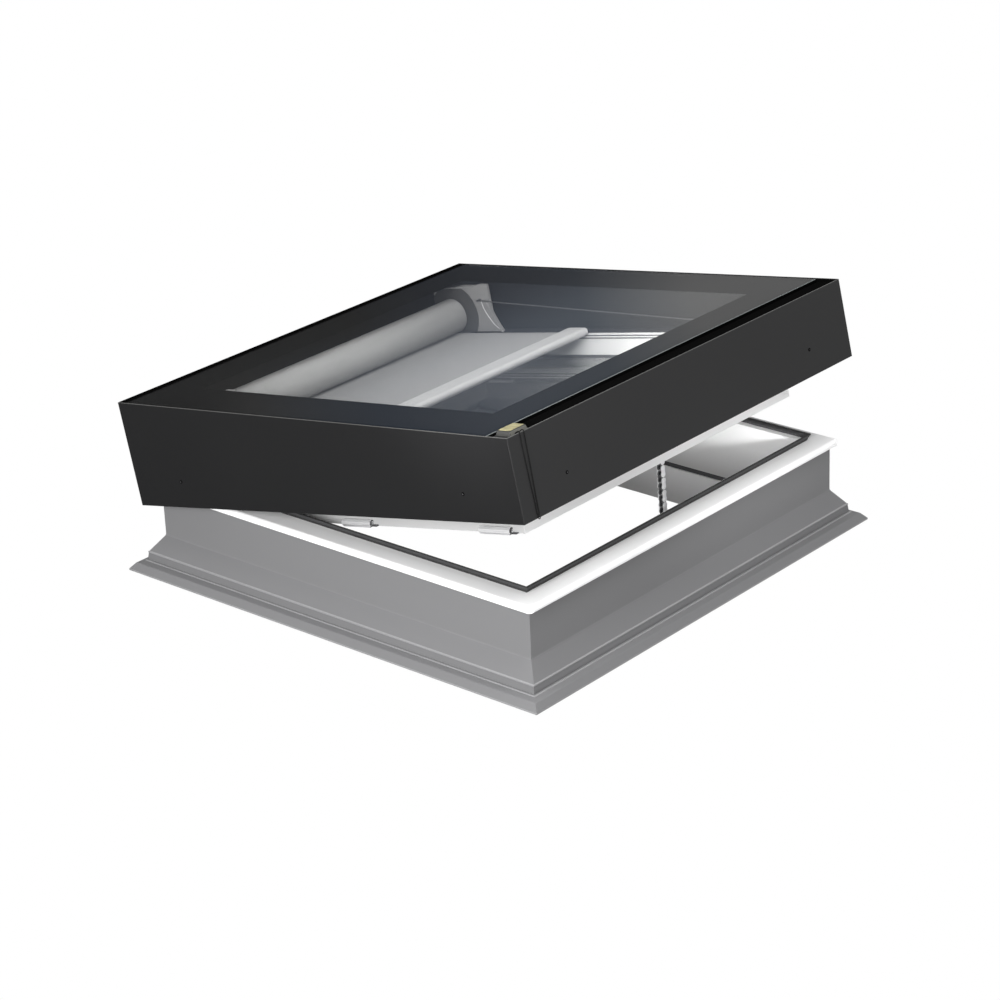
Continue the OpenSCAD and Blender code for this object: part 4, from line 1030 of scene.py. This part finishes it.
# Oval bar with two slot lines on its upper face
def buildHemBar():
    r = blind["hemH"] / 2
    wide = blind["hemW"] / 2 - r
    outline = []
    for sign in (1, -1):
        for step in range(blind["nose"] + 1):
            turn = math.radians(90 * sign - 180 * step / blind["nose"])
            outline.append((sign * wide + r * math.cos(turn), r * math.sin(turn)))
    outline += [(y, r - depth) for y, depth in blind["slots"]]
    bm = bmesh.new()
    verts = [bm.verts.new(metres(-blind["barHalf"], blind["hemY"] + y, blind["clothZ"] + z))
             for y, z in outline]
    grown = bmesh.ops.extrude_face_region(bm, geom=[bm.faces.new(verts)])
    ends = [item for item in grown["geom"] if isinstance(item, bmesh.types.BMVert)]
    bmesh.ops.translate(bm, vec=metres(2 * blind["barHalf"], 0, 0), verts=ends)
    return dress("hemBarOval", moved(bm, sashFrame), "hem_bar", corner=35)


roll = buildRoll()
hemBar = buildHemBar()
cloth, clothFlat = buildCloth()
print("blind hangs; cloth cut to", [round(v, 4) for v in clothFlat])


# Cover screws: low domed heads with a six-lobed socket (mm)

screws = {"x": 355, "z": 50.5, "face": 481.0, "lobes": 6, "lobeDepth": 0.16, "lobeZone": (0.5, 1.8),
          "socket": 1.7,
          "profile": [(0, 3.2), (0.5, 3.15), (0.95, 2.7), (1.15, 2.0), (1.2, 1.75), (0.35, 1.6), (0.35, 0.0)]}


def oneScrew():
    part = bmesh.new()
    points = [metres(screws["face"] + x, r, 0) for x, r in screws["profile"]]
    spinLine(part, points, False, (0, 0, 0), (1, 0, 0), 36)
    bmesh.ops.remove_doubles(part, verts=part.verts, dist=1e-6)
    near, far = screws["lobeZone"]
    for vert in part.verts:
        if near < math.hypot(vert.co.y, vert.co.z) * 1000 < far:
            turn = math.atan2(vert.co.z, vert.co.y)
            lobe = 1 + screws["lobeDepth"] * math.cos(screws["lobes"] * turn)
            vert.co.y *= lobe
            vert.co.z *= lobe
    for face in part.faces:
        middle = face.calc_center_median()
        if math.hypot(middle.y, middle.z) * 1000 < screws["socket"]:
            face.material_index = 1
    return part


def buildScrews():
    bm = bmesh.new()
    for quarter in range(4):
        for side in (-1, 1):
            turn = Matrix.Rotation(quarter * math.pi / 2, 4, "Z")
            stand = Matrix.Translation(metres(0, side * screws["x"], screws["z"]))
            addShape(bm, moved(oneScrew(), turn @ stand))
    dress("coverScrewHeads", moved(bm, sashFrame), "cover_screws", "gutterBlack", "rubber", corner=40)


buildScrews()
print("screws are driven")


# Twin cable of the light sensor, over the cover's top edge and down its face (mm, sash frame): "over" has
# y and the depth below the top, "down" the distance from the cable's middle and the height

cable = {"x": -444.0, "topX": 5.0, "radius": 0.7, "sides": 10, "faceY": -481.8, "topZ": 152.9, "turnZ": 5,
         "over": [(-467.5, 6), (-472.5, 3.6), (-475.8, 0.9), (-479.3, 0), (-481.4, 1.5), (-481.8, 5),
                  (-481.8, 30)],
         "down": [(4.05, 75.5), (2.6, 30), (2.6, 12), (2.6, 8)],
         "gland": (-466, -471.6), "glandDepth": 5.5, "glandR": 2.6,
         "ringZ": 1.2, "ringR": 2.3, "ringT": 0.8, "ringOut": 0.4}


def buildCable():
    bm = bmesh.new()
    x, face, top = cable["x"], cable["faceY"], cable["topZ"]
    both = []
    for side in (-1, 1):
        line = [(x + side * cable["topX"], y, top - depth) for y, depth in cable["over"]]
        line += [(x + side * out, face, z) for out, z in cable["down"]]
        both += line if side < 0 else [(x, face, cable["turnZ"])] + line[::-1]
    addTube(bm, splinePath(both), cable["radius"], cable["sides"])
    gland = [Vector((x, y, top - cable["glandDepth"])) for y in cable["gland"]]
    addTube(bm, gland, cable["glandR"], cable["sides"])
    dress("sensorTwinCable", moved(toMetres(bm), sashFrame), "sensor_cable", "cableBlack", corner=50)


# Small eye that holds the cable's end at the cover's lower edge
def buildCableRing():
    bm = bmesh.new()
    x, y, z = cable["x"], cable["faceY"] - cable["ringOut"], cable["ringZ"]
    radius, thick = cable["ringR"], cable["ringT"]
    turns = [2 * math.pi * step / 10 for step in range(10)]
    points = [(x + radius + thick * math.cos(turn), y + thick * math.sin(turn), z) for turn in turns]
    spinLine(bm, points, True, (x, y, z), (0, 1, 0), 28)
    dress("cableEndRing", moved(toMetres(bm), sashFrame), "cable_grommet", "cableBlack", corner=60)


buildCable()
buildCableRing()
print("cable is laid")
